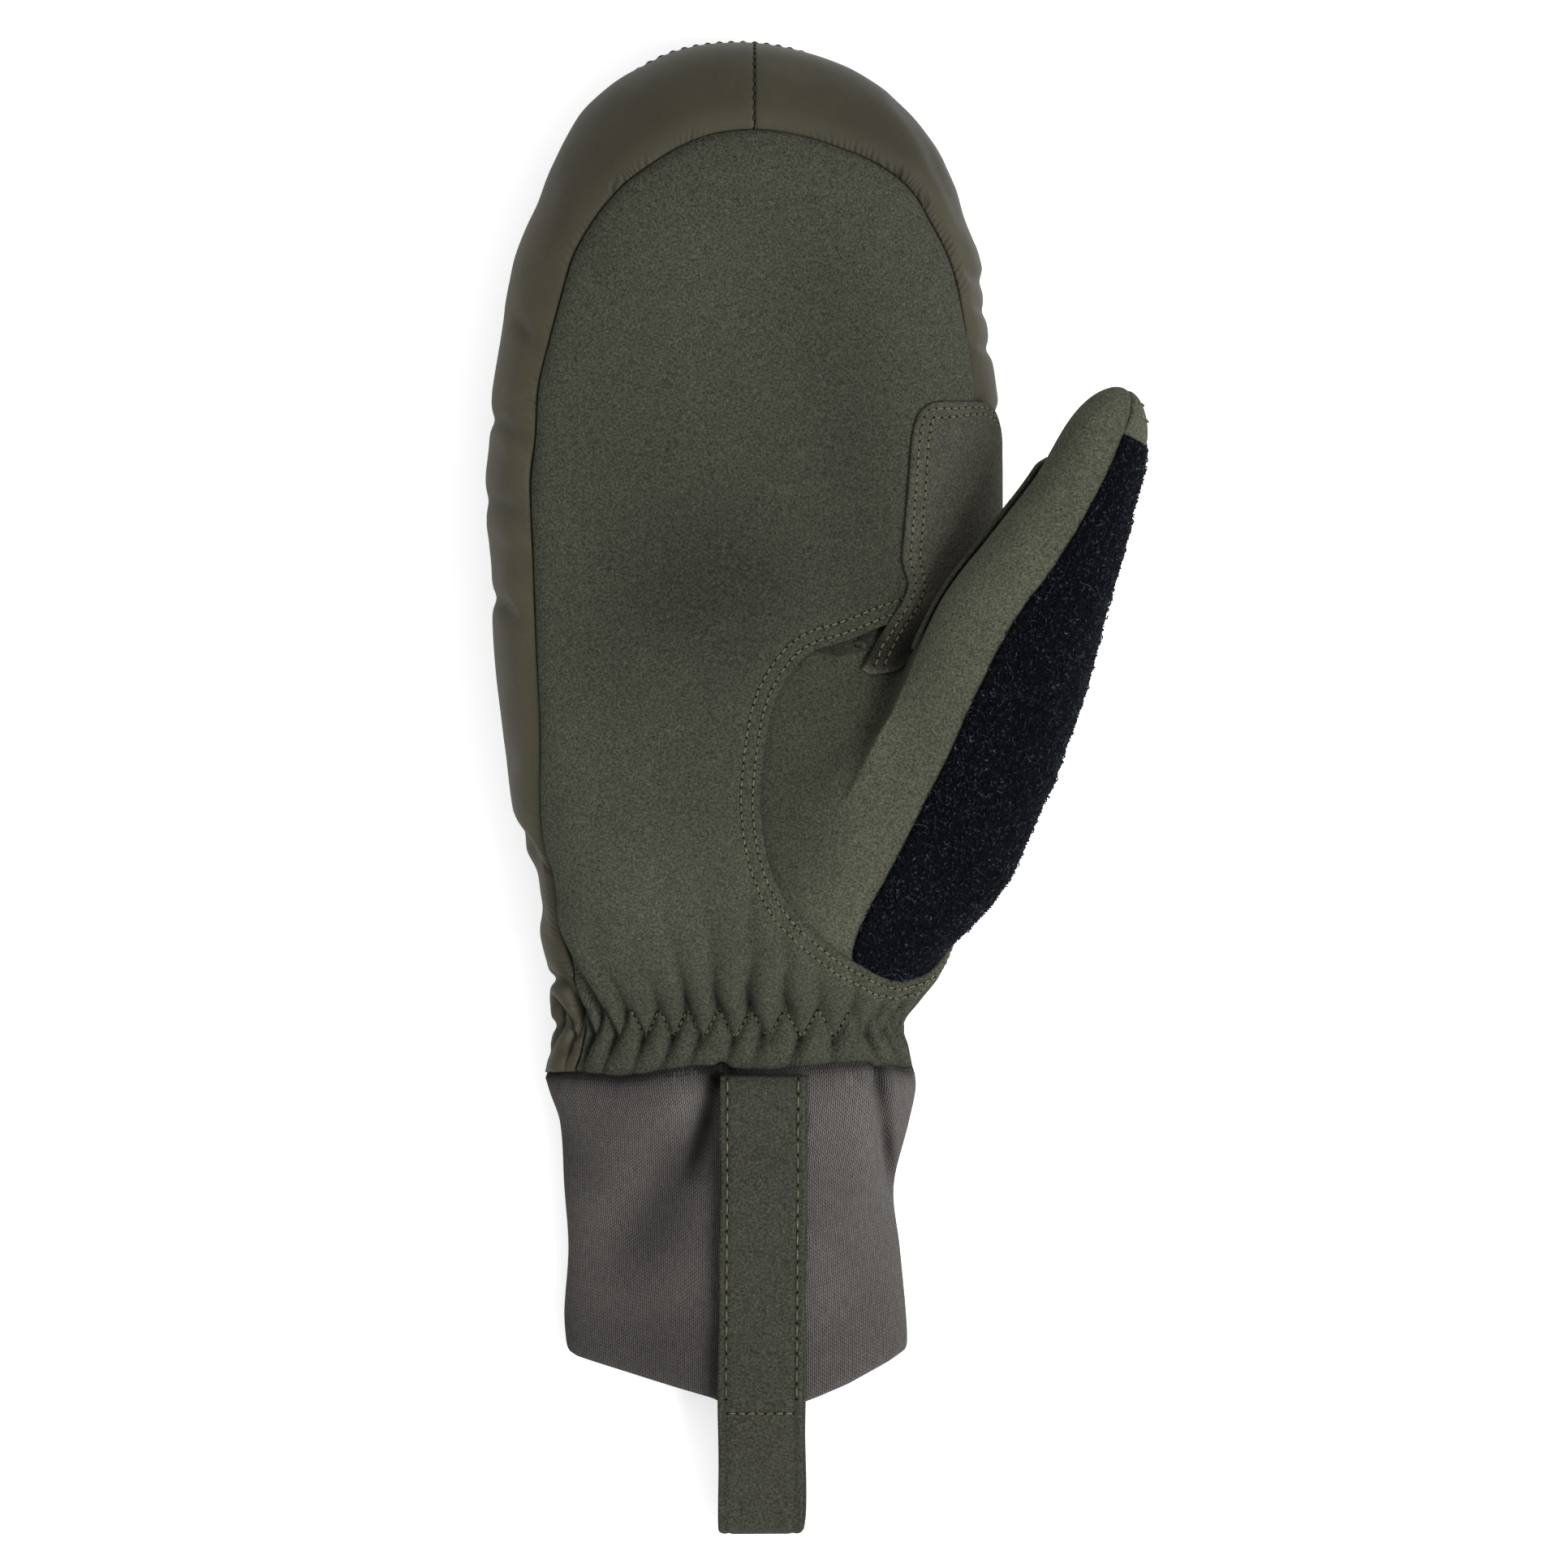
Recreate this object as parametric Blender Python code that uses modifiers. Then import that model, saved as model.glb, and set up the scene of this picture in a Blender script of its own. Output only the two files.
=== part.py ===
"""Right-hand ski mitten lying on its back, palm up.

+X points to the thumb side, +Y to the fingertips and +Z up out of the palm.
The origin is on the surface that the mitten lies on, under the middle of the palm.
"""
import math

import bmesh
import bpy
from mathutils import Vector

# Body
PALM_WIDTH = 0.1138         # across the padded shell
BODY_LENGTH = 0.1786        # from the cuff seam to the centre of the rounded tip
TIP_LENGTH = 0.0500         # from that centre to the fingertip
BODY_HEIGHT = 0.0430        # stuffed height of the palm above the surface
ORIGIN_SHARE = 0.6875       # place of the origin along the body
EDGE_SHARE = 0.38           # height of the outline as a share of the body's height
FLAT_SHARE = 0.72           # part of each section that lies flat on the surface
SHELL_WALL = 0.0035         # padded shell
PALM_WALL = 0.0018          # suede-like palm
SEAM_GAP = 0.0007           # clearance between two pieces along a seam
LAYER_GAP = 0.0003          # clearance under a piece that lies on another

# Wrist gather
GATHER_PITCH = 0.0073
GATHER_DEPTH = 0.0014
GATHER_PLACE = 0.060        # share of the body length
GATHER_REACH = 0.055

# Thumb
THUMB_LENGTH = 0.1129       # from the middle of its opening to the tip, in plan
THUMB_WIDTH = 0.0390
THUMB_WALL = 0.0015
TERRY_WALL = 0.0026
THUMB_ROOT_ACROSS = 0.538   # share of half the palm width
THUMB_ROOT_ALONG = 0.284    # share of the body length
GUSSET_SINK = 0.0012        # the gusset lies this far under the palm's face
TIP_CAP_LENGTH = 0.0105

# Reinforcement
PATCH_WALL = 0.0011
STRIP_WALL = 0.0010

# Cuff
CUFF_LENGTH = 0.0620        # at its sides
CUFF_POINT = 0.0150         # how far the hem's point reaches past the sides
CUFF_WALL = 0.0018

# Pull loop
LOOP_WIDTH = 0.0189
LOOP_LENGTH = 0.1026
LOOP_WALL = 0.0012
LOOP_OFFSET = 0.0018        # its middle, to the thumb side of the origin
LOOP_PUFF = 0.0016          # how far its layers part below the hem
LOOP_DROP = 0.62            # share of the cuff's height that its free end falls
LOOP_STEPS = 16

# Folds
FOLD_DEPTH = 0.0010
FOLD_REACH = 0.0040         # how far a fold's slope spreads to each side

# Sections of the body from the cuff seam to the tip's centre. Left and right are shares
# of half the palm width, height is a share of the body's height, and the edges are
# shares of the way round the section: 0 underneath, 0.5 at the outline, 1 at the crest.
BODY_COLUMNS = ("along", "left", "right", "height", "full_right",
                "palm_left", "palm_right", "back_right")
BODY_ROWS = (
    (0.000, 0.823, 0.620, 0.49, 2.6, 0.687, 0.40, 0.30),
    (0.032, 0.804, 0.604, 0.50, 2.6, 0.704, 0.40, 0.30),
    (0.060, 0.794, 0.585, 0.50, 2.6, 0.710, 0.39, 0.29),
    (0.088, 0.804, 0.649, 0.60, 2.6, 0.690, 0.37, 0.27),
    (0.118, 0.803, 0.722, 0.70, 2.5, 0.668, 0.36, 0.26),
    (0.173, 0.835, 0.791, 0.83, 2.3, 0.638, 0.36, 0.26),
    (0.244, 0.842, 0.829, 0.91, 2.2, 0.612, 0.36, 0.26),
    (0.279, 0.895, 0.848, 0.93, 2.2, 0.634, 0.36, 0.26),
    (0.325, 0.940, 0.870, 0.95, 2.2, 0.661, 0.36, 0.26),
    (0.425, 0.978, 0.905, 0.98, 2.1, 0.690, 0.37, 0.27),
    (0.526, 1.013, 0.930, 1.00, 2.1, 0.700, 0.41, 0.30),
    (0.627, 1.028, 0.943, 1.00, 2.2, 0.700, 0.48, 0.335),
    (0.728, 1.047, 0.946, 1.00, 2.4, 0.702, 0.56, 0.37),
    (0.788, 1.028, 0.946, 0.99, 2.5, 0.704, 0.61, 0.39),
    (0.849, 1.019, 0.943, 0.98, 2.6, 0.707, 0.642, 0.41),
    (0.909, 0.994, 0.911, 0.96, 2.6, 0.722, 0.640, 0.43),
    (0.970, 0.962, 0.889, 0.94, 2.6, 0.738, 0.655, 0.43),
    (1.000, 0.943, 0.886, 0.93, 2.6, 0.745, 0.677, 0.43),
)

# Spokes of the rounded tip: the angle from the thumb side, the outline as a share of an
# ellipse through the last section and the fingertip, and the palm's edge as above.
TIP_COLUMNS = ("angle", "reach", "palm")
TIP_ROWS = (
    (0, 1.000, 0.677),
    (14, 0.953, 0.698),
    (25, 0.957, 0.722),
    (42, 0.966, 0.772),
    (55, 0.977, 0.803),
    (75, 0.984, 0.821),
    (92, 1.000, 0.827),
    (108, 1.017, 0.829),
    (120, 1.010, 0.826),
    (135, 0.997, 0.817),
    (145, 0.967, 0.797),
    (155, 0.949, 0.778),
    (165, 0.948, 0.759),
    (180, 1.000, 0.745),
)

# Sections of the cuff, from its seam to its hem, in the body's shares.
CUFF_COLUMNS = ("along", "left", "right", "height")
CUFF_ROWS = (
    (0.00, 0.823, 0.625, 0.49),
    (0.06, 0.803, 0.630, 0.45),
    (0.17, 0.763, 0.604, 0.42),
    (0.40, 0.747, 0.544, 0.38),
    (0.62, 0.731, 0.568, 0.35),
    (0.86, 0.747, 0.592, 0.33),
    (1.00, 0.738, 0.598, 0.31),
    (1.30, 0.730, 0.590, 0.29),
)

# Soft folds and dents on the upper side, from one end to the other, in shares of half the
# palm width and of the body length from the cuff seam. Depth and reach are shares of the
# folds' named sizes.
FOLD_COLUMNS = ("x0", "y0", "x1", "y1", "depth", "reach")
FOLD_ROWS = (
    (-0.12, -0.012, -0.22, -0.160, 1.2, 1.05),
    (-0.20, -0.020, -0.46, -0.230, 1.2, 1.75),
    (0.48, -0.006, 0.545, -0.125, 1.6, 0.75),
    (-0.93, 0.810, -0.80, 0.660, 0.9, 1.00),
    (-0.98, 0.600, -0.86, 0.480, 0.9, 1.00),
    (-0.90, 0.327, -0.80, 0.270, 2.2, 0.88),
    (-0.80, 0.118, -0.62, 0.112, 2.2, 0.70),
    (0.50, 1.180, 0.78, 1.060, 0.8, 1.12),
    (-0.45, 0.300, 0.02, 0.180, 1.0, 3.00),
)

# The thumb's opening in the palm: the turn round the thumb, the place along the body and
# the way round the section, as in the body's rows.
OPENING_COLUMNS = ("turn", "along", "round")
OPENING_ROWS = (
    (0, 0.240, 0.480),
    (25, 0.155, 0.540),
    (50, 0.112, 0.700),
    (75, 0.131, 0.836),
    (100, 0.180, 0.930),
    (125, 0.242, 0.977),
    (150, 0.325, 0.994),
    (165, 0.405, 0.988),
    (180, 0.468, 0.972),
    (195, 0.518, 0.934),
    (210, 0.530, 0.884),
    (225, 0.522, 0.835),
    (240, 0.512, 0.780),
    (262, 0.494, 0.700),
    (285, 0.456, 0.600),
    (305, 0.400, 0.520),
    (330, 0.325, 0.480),
    (360, 0.240, 0.480),
)

# Sections of the thumb. Across and along are shares of its length from the middle of the
# opening, rise is a share of the body's height, the half sizes are shares of its width,
# and terry is the turn at which the terry panel starts.
THUMB_COLUMNS = ("at", "across", "along", "rise", "half_width", "half_depth", "terry")
THUMB_ROWS = (
    (0.00, 0.000, 0.000, 0.58, 0.66, 0.36, 77),
    (0.20, 0.096, 0.104, 0.76, 0.60, 0.36, 88),
    (0.38, 0.177, 0.247, 0.90, 0.53, 0.34, 98),
    (0.55, 0.244, 0.413, 0.97, 0.48, 0.32, 95),
    (0.70, 0.304, 0.540, 0.98, 0.40, 0.31, 88),
    (0.86, 0.386, 0.715, 0.97, 0.31, 0.29, 78),
    (1.00, 0.456, 0.890, 0.93, 0.31, 0.29, 63),
)
THUMB_ROUND_FROM = 0.86     # from here to the tip the sections close like a dome
THUMB_BLEND = 0.36          # up to here the opening's outline flows into the thumb
THUMB_FAR_START = 0.42      # the far side starts this far up the thumb
THUMB_FAR_TURN = 250        # the turn of the far side, next to the forefinger
THUMB_FAR_SPREAD = 130      # how far round from there it reaches
THUMB_BACK_TURN = -75       # the seam between terry and suede behind the thumb
THUMB_FULLNESS = 2.3        # squareness of its sections

# The body's sections and facets
BODY_FULLNESS = 2.6         # squareness of the sections
FLAT_WAY = 0.30             # the way round the section that its flat part takes
TIP_BACK_EDGE = 0.43        # the back's edge as a way round the section
PANEL_ROWS = 25             # rows of facets from the wrist to the fingertip
STRAIGHT_ROWS = 18 / 25     # the share of them up to the tip's centre

# The patch over the forefinger side, in shares of the body length and of the section
PATCH_FOOT = 0.505
PATCH_TOP = 0.832
PATCH_INNER = 0.818
PATCH_OUTER = 0.455
PATCH_CORNER = 0.035        # height of its rounded corner
PATCH_CORNER_REACH = 0.050
PATCH_HEEL = 0.030          # how much wider its foot is
PATCH_HEEL_FROM = 0.60
PATCH_HEEL_RUN = 0.09

# The strip up the thumb's inner side, by the thumb's turns and places
STRIP_TURN = 178
STRIP_SPREAD = 30
STRIP_FOOT = 0.45
STRIP_RUN = 0.35

# The lens that opens the palm for the thumb
LENS_UNDER = 0.0065
LENS_OVER = 0.0035
LENS_TOP = 0.0220           # its highest point over the rim's middle
LENS_LEAN = 0.0120          # how far that point leans to the thumb side
LENS_STEPS = 48

HALF_WIDTH = PALM_WIDTH / 2
SEAM_Y = -ORIGIN_SHARE * BODY_LENGTH
TIP_CENTRE_Y = SEAM_Y + BODY_LENGTH


def column(columns, rows, name):
    """Returns one named column of a table as a pair of lists: places and values."""
    index = columns.index(name)
    return [row[0] for row in rows], [row[index] for row in rows]


def along_curve(columns, rows, name, place):
    """Reads a table's column at a place, on a smooth curve through its rows."""
    places, values = column(columns, rows, name)
    last = len(places) - 1
    place = min(max(place, places[0]), places[last])
    at = 0
    while at < last - 1 and place > places[at + 1]:
        at += 1
    span = places[at + 1] - places[at]
    share = (place - places[at]) / span

    def slope(index):
        low = max(index - 1, 0)
        high = min(index + 1, last)
        return (values[high] - values[low]) / (places[high] - places[low])

    square = share * share
    cube = square * share
    return ((2 * cube - 3 * square + 1) * values[at]
            + (cube - 2 * square + share) * span * slope(at)
            + (3 * square - 2 * cube) * values[at + 1]
            + (cube - square) * span * slope(at + 1))


def smooth(share):
    share = min(max(share, 0.0), 1.0)
    return share * share * (3 - 2 * share)


def rise_at(reach, height, edge, fullness):
    """Height of the upper side at a share of the way from crest to outline."""
    reach = min(abs(reach), 1.0)
    return edge + (height - edge) * (1 - reach ** fullness) ** (1 / fullness)


def sole_at(reach, edge):
    """Height of the underside: flat, then curling up to the outline."""
    curl = min(max((abs(reach) - FLAT_SHARE) / (1 - FLAT_SHARE), 0.0), 1.0)
    return edge * (1 - math.sqrt(1 - curl * curl))


def reach_at(way, fullness):
    """Share from crest to outline for a share of the way round the section."""
    if way >= 0.5:
        return max(math.sin((1 - way) * math.pi), 0.0) ** (2 / fullness)
    if way < FLAT_WAY:
        return FLAT_SHARE * way / FLAT_WAY
    turn = (way - FLAT_WAY) / (0.5 - FLAT_WAY) * math.pi / 2
    return FLAT_SHARE + (1 - FLAT_SHARE) * math.sin(turn)


def height_at(way, height, fullness):
    """Height for a share of the way round the section."""
    edge = EDGE_SHARE * height
    reach = reach_at(way, fullness)
    if way >= 0.5:
        return rise_at(reach, height, edge, fullness)
    return sole_at(reach, edge)


def fold_depth(x, y):
    """Depth of the soft folds at a place on the upper side."""
    depth = 0.0
    for row in FOLD_ROWS:
        fold = dict(zip(FOLD_COLUMNS, row))
        start = Vector((fold["x0"] * HALF_WIDTH, SEAM_Y + fold["y0"] * BODY_LENGTH))
        end = Vector((fold["x1"] * HALF_WIDTH, SEAM_Y + fold["y1"] * BODY_LENGTH))
        run = end - start
        offset = Vector((x, y)) - start
        share = min(max(offset.dot(run) / run.length_squared, 0.0), 1.0)
        away = (offset - run * share).length / (fold["reach"] * FOLD_REACH)
        swell = 0.5 + 0.5 * math.sin(math.pi * share)
        depth += fold["depth"] * FOLD_DEPTH * math.exp(-away ** 2) * swell
    return depth


def gather_depth(x, y):
    """Depth of the gathers beside the elastic row at the wrist."""
    near = abs((y - SEAM_Y) / BODY_LENGTH - GATHER_PLACE) / GATHER_REACH
    envelope = math.exp(-near ** 2)
    return GATHER_DEPTH * envelope * (0.5 + 0.5 * math.cos(2 * math.pi * x / GATHER_PITCH))


def relief(point, normal):
    """How far a point of the upper side sinks by the folds and gathers there."""
    facing = smooth(normal.z / 0.6)
    return facing * (fold_depth(point.x, point.y) + gather_depth(point.x, point.y))


def section_point(side, y, way, half_width, height, fullness):
    """A point on one section, side -1 towards the little finger and 1 towards the thumb."""
    reach = reach_at(way, fullness)
    return Vector((side * reach * half_width, y, height_at(way, height, fullness)))


def body_row(name, along):
    return along_curve(BODY_COLUMNS, BODY_ROWS, name, along)


def body_point(side, along, way):
    half_width = HALF_WIDTH * body_row("left" if side < 0 else "right", along)
    fullness = BODY_FULLNESS if side < 0 else body_row("full_right", along)
    height = BODY_HEIGHT * body_row("height", along)
    y = SEAM_Y + along * BODY_LENGTH
    return section_point(side, y, way, half_width, height, fullness)


def tip_spoke(angle):
    """The vector from the tip's centre to its outline, in plan."""
    side = "right" if angle < 90 else "left"
    half_width = HALF_WIDTH * body_row(side, 1.0)
    reach = along_curve(TIP_COLUMNS, TIP_ROWS, "reach", angle)
    turn = math.radians(angle)
    return Vector((half_width * math.cos(turn), TIP_LENGTH * math.sin(turn))) * reach


def tip_height():
    return BODY_HEIGHT * body_row("height", 1.0)


def tip_point(angle, way):
    spoke = tip_spoke(angle)
    reach = reach_at(way, BODY_FULLNESS)
    height = tip_height()
    return Vector((reach * spoke.x, TIP_CENTRE_Y + reach * spoke.y,
                   height_at(way, height, BODY_FULLNESS)))


def tip_place(x, y, upper):
    """The point of the rounded tip over or under a place in plan."""
    side = "right" if x >= 0 else "left"
    half_width = HALF_WIDTH * body_row(side, 1.0)
    across = x / half_width
    ahead = (y - TIP_CENTRE_Y) / TIP_LENGTH
    angle = math.degrees(math.atan2(ahead, across))
    outline = along_curve(TIP_COLUMNS, TIP_ROWS, "reach", angle)
    reach = min(math.hypot(across, ahead) / outline, 1.0)
    height = tip_height()
    edge = EDGE_SHARE * height
    if upper:
        return Vector((x, y, rise_at(reach, height, edge, BODY_FULLNESS)))
    return Vector((x, y, sole_at(reach, edge)))


def rim_point(run, way):
    """A point by its run along the outline: 0 to 1 up the little-finger side, 1 to 2
    round the tip, 2 to 3 down the thumb side."""
    if run <= 1:
        return body_point(-1, run, way)
    if run < 2:
        return tip_point(180 * (2 - run), way)
    return body_point(1, 3 - run, way)


def palm_edge(run):
    if run <= 1:
        return body_row("palm_left", run)
    if run < 2:
        return along_curve(TIP_COLUMNS, TIP_ROWS, "palm", 180 * (2 - run))
    return body_row("palm_right", 3 - run)


def back_edge(run):
    if run <= 2:
        return TIP_BACK_EDGE
    return body_row("back_right", 3 - run)


def way_of(distance, height):
    """The share of the way round a section that a short distance takes."""
    return distance / (HALF_WIDTH + height) * 0.5


def run_of(ahead):
    """The run along the outline's little-finger half for a share of the panels' rows."""
    if ahead <= STRAIGHT_ROWS:
        return ahead / STRAIGHT_ROWS
    return 1 + 0.5 * (ahead - STRAIGHT_ROWS) / (1 - STRAIGHT_ROWS)


def panel_point(across, ahead, crest, edge_of):
    """A point of the palm or the back, across from -1 to 1, ahead from 0 to 1."""
    side = -1 if across < 0 else 1
    share = abs(across)
    run = run_of(ahead)
    if run <= 1:
        edge = edge_of(run if side < 0 else 3 - run)
        return body_point(side, run, crest + (edge - crest) * share)
    turn = 180 * (run - 1)
    ends = []
    edges = []
    for run in (1 + turn / 180, 2 - turn / 180):
        edges.append(edge_of(run))
        spoke = tip_spoke(180 * (2 - run)) * reach_at(edges[-1], BODY_FULLNESS)
        ends.append(Vector((spoke.x, TIP_CENTRE_Y + spoke.y)))
    top = tip_spoke(90) * reach_at(edge_of(1.5), BODY_FULLNESS)
    middle = Vector((top.x * math.sin(math.radians(turn)), (ends[0].y + ends[1].y) / 2))
    end = ends[0] if side < 0 else ends[1]
    edge = edges[0] if side < 0 else edges[1]
    part = reach_at(crest + (edge - crest) * share, BODY_FULLNESS) / reach_at(edge, BODY_FULLNESS)
    place = middle + (end - middle) * part
    return tip_place(place.x, place.y, crest > 0.5)


def cuff_point(way, along):
    """A point of the cuff, way from 0 to 1 once round it, along from seam to hem."""
    side = -1 if way < 0.5 else 1
    round_way = 2 * way if way < 0.5 else 2 - 2 * way
    half_side = "left" if side < 0 else "right"
    reach = reach_at(round_way, BODY_FULLNESS)
    point_share = CUFF_POINT / CUFF_LENGTH * (1 - reach) if round_way > 0.5 else 0.0
    down = along * (1 + point_share)
    half_width = HALF_WIDTH * along_curve(CUFF_COLUMNS, CUFF_ROWS, half_side, down)
    height = BODY_HEIGHT * along_curve(CUFF_COLUMNS, CUFF_ROWS, "height", down)
    y = SEAM_Y - SEAM_GAP - down * CUFF_LENGTH
    return section_point(side, y, round_way, half_width, height, BODY_FULLNESS)


def opening_point(turn, sink):
    """A point on the rim of the thumb's opening, sunk below the palm's face."""
    turn = turn % 360
    along = along_curve(OPENING_COLUMNS, OPENING_ROWS, "along", turn)
    way = along_curve(OPENING_COLUMNS, OPENING_ROWS, "round", turn)
    point = body_point(1, along, way)
    step = 0.004
    ahead = body_point(1, along + step, way) - body_point(1, along - step, way)
    round_it = body_point(1, along, way + step) - body_point(1, along, way - step)
    return point - ahead.cross(round_it).normalized() * sink


def thumb_centre(at):
    def read(name):
        return along_curve(THUMB_COLUMNS, THUMB_ROWS, name, at)

    return Vector((THUMB_ROOT_ACROSS * HALF_WIDTH + read("across") * THUMB_LENGTH,
                   SEAM_Y + THUMB_ROOT_ALONG * BODY_LENGTH + read("along") * THUMB_LENGTH,
                   read("rise") * BODY_HEIGHT))


def tube_point(turn, at):
    """A point on the plain thumb tube, turn 0 at its outer side and 90 at its top."""
    if at > THUMB_ROUND_FROM:
        dome = (at - THUMB_ROUND_FROM) / (1 - THUMB_ROUND_FROM) * math.pi / 2
        at = THUMB_ROUND_FROM + (1 - THUMB_ROUND_FROM) * math.sin(dome)
        closing = math.cos(dome)
    else:
        closing = 1.0
    centre = thumb_centre(at)
    ahead = thumb_centre(min(at + 0.02, 1.0)) - thumb_centre(at - 0.02)
    outer = Vector((ahead.y, -ahead.x, 0)).normalized()
    upper = outer.cross(ahead).normalized()
    half_width = along_curve(THUMB_COLUMNS, THUMB_ROWS, "half_width", at) * THUMB_WIDTH
    half_depth = along_curve(THUMB_COLUMNS, THUMB_ROWS, "half_depth", at) * THUMB_WIDTH
    angle = math.radians(turn)
    power = 2 / THUMB_FULLNESS
    across = math.copysign(abs(math.cos(angle)) ** power, math.cos(angle))
    above = math.copysign(abs(math.sin(angle)) ** power, math.sin(angle))
    return centre + (outer * across * half_width + upper * above * half_depth) * closing


def thumb_point(turn, at):
    """A point on the thumb with its gusset, at 0 on the opening and 1 at the tip."""
    away = abs((turn % 360) - THUMB_FAR_TURN)
    far = THUMB_FAR_START * smooth(1 - away / THUMB_FAR_SPREAD)
    return opening_point(turn, GUSSET_SINK).lerp(tube_point(turn, far + (1 - far) * at),
                                                 smooth(at / THUMB_BLEND))


def terry_turn(at):
    return along_curve(THUMB_COLUMNS, THUMB_ROWS, "terry", at)


def material(name, colour, roughness):
    made = bpy.data.materials.new(name)
    made.use_nodes = True
    shader = made.node_tree.nodes["Principled BSDF"]
    shader.inputs["Base Color"].default_value = (*colour, 1)
    shader.inputs["Roughness"].default_value = roughness
    shader.inputs["Metallic"].default_value = 0.0
    return made


def normal_at(surface, u, w):
    """The normal of a surface by its two directions."""
    step = 0.003
    u = min(max(u, step), 1 - step)
    w = min(max(w, step), 1 - step)
    over = surface(u + step, w) - surface(u - step, w)
    up = surface(u, w + step) - surface(u, w - step)
    return over.cross(up).normalized()


def outward_sign(surface, core):
    """1 where the normals of a surface point away from its core, else -1."""
    if normal_at(surface, 0.5, 0.5).dot(surface(0.5, 0.5) - core) < 0:
        return -1
    return 1


def shell(name, look, surface, core, columns, rows, wall, lift=0.0, finer=None):
    """A wall of even thickness under a surface. The inner side is set along the true
    normals, so that two pieces keep an even gap all the way through their seam."""
    bm = bmesh.new()
    inward = bm.verts.layers.float_vector.new("inward")
    bmesh.ops.create_grid(bm, x_segments=columns, y_segments=rows, size=0.5)
    if finer:
        limit, cuts = finer
        near = []
        for face in bm.faces:
            centre = face.calc_center_median()
            if centre.y + 0.5 < limit and abs(centre.x) < 0.44:
                near.append(face)
        edges = {edge for face in near for edge in face.edges}
        bmesh.ops.subdivide_edges(bm, edges=list(edges), cuts=cuts, use_grid_fill=True)
    sign = outward_sign(surface, core)
    for vertex in bm.verts:
        u = vertex.co.x + 0.5
        w = vertex.co.y + 0.5
        normal = normal_at(surface, u, w) * sign
        point = surface(u, w)
        if abs(point.y - SEAM_Y) < 2 * SEAM_GAP:
            normal = Vector((normal.x, 0, normal.z)).normalized()
        vertex[inward] = -normal * wall
        vertex.co = point + normal * (lift - relief(point, normal))
    bmesh.ops.remove_doubles(bm, verts=bm.verts, dist=1e-5)
    grown = bmesh.ops.extrude_face_region(bm, geom=bm.faces[:])["geom"]
    for vertex in grown:
        if isinstance(vertex, bmesh.types.BMVert):
            vertex.co += vertex[inward]
    bmesh.ops.dissolve_degenerate(bm, edges=bm.edges, dist=1e-5)
    bmesh.ops.triangulate(bm, faces=bm.faces)
    bmesh.ops.recalc_face_normals(bm, faces=bm.faces)
    return solid(name, bm, look)


def solid(name, bm, look):
    mesh = bpy.data.meshes.new(name)
    bm.to_mesh(mesh)
    bm.free()
    made = bpy.data.objects.new(name, mesh)
    made.data.materials.append(look)
    parts.objects.link(made)
    return made


def body_core():
    return Vector((0, 0, EDGE_SHARE * BODY_HEIGHT))


def back_panel(look):
    gap = way_of(SEAM_GAP / 2, BODY_HEIGHT)

    def surface(u, w):
        return panel_point(2 * u - 1, w, 0.0, lambda run: back_edge(run) - gap)

    return shell("back_panel", look, surface, body_core(), 16, PANEL_ROWS, SHELL_WALL)


def palm_panel(look):
    gap = way_of(SEAM_GAP / 2, BODY_HEIGHT)

    def surface(u, w):
        return panel_point(2 * u - 1, w, 1.0, lambda run: palm_edge(run) + gap)

    return shell("palm_panel", look, surface, body_core(), 16, PANEL_ROWS, PALM_WALL,
                 finer=(0.13, 2))


def side_wall(name, look, side):
    """A shell strip along the outline, between the back's edge and the palm's edge."""
    gap = way_of(SEAM_GAP / 2, BODY_HEIGHT)
    top_share = 1 - SEAM_GAP / TIP_LENGTH / math.pi * (1 - STRAIGHT_ROWS)

    def run_at(u):
        run = run_of(u * top_share if u == 1 else u)
        return run if side < 0 else 3 - run

    def surface(u, w):
        run = run_at(u)
        low = back_edge(run) + gap
        high = palm_edge(run) - gap
        return rim_point(run, low + (high - low) * w)

    return shell(name, look, surface, body_core(), PANEL_ROWS, 6, SHELL_WALL)


def index_patch(look):
    """Suede over the forefinger side, wrapped round the palm's edge."""
    def surface(u, w):
        along = PATCH_FOOT + (PATCH_TOP - PATCH_FOOT) * w
        rounding = max(along - (PATCH_TOP - PATCH_CORNER), 0.0) / PATCH_CORNER
        inner = PATCH_INNER - PATCH_CORNER_REACH * (1 - math.sqrt(max(1 - rounding ** 2, 0.0)))
        inner += PATCH_HEEL * smooth((PATCH_HEEL_FROM - along) / PATCH_HEEL_RUN)
        return body_point(1, along, inner + (PATCH_OUTER - inner) * u)

    return shell("index_patch", look, surface, body_core(), 10, 10, PATCH_WALL,
                 lift=LAYER_GAP + PATCH_WALL)


def thumb_core():
    return thumb_centre(0.5)


def turn_gap(at):
    """The turn that half a seam gap takes on a section of the thumb."""
    closing = 1.0
    if at > THUMB_ROUND_FROM:
        closing = math.cos((at - THUMB_ROUND_FROM) / (1 - THUMB_ROUND_FROM) * math.pi / 2)
    radius = 0.35 * THUMB_WIDTH * max(closing, 0.05)
    return math.degrees(SEAM_GAP / 2 / radius)


def thumb_panel(look):
    def surface(u, w):
        gap = turn_gap(w)
        start = terry_turn(w) + gap
        end = 360 + THUMB_BACK_TURN - gap
        return thumb_point(start + (end - start) * u, w)

    return shell("thumb_panel", look, surface, thumb_core(), 16, 17, THUMB_WALL)


def terry_end():
    return 1 - TIP_CAP_LENGTH / THUMB_LENGTH


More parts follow.
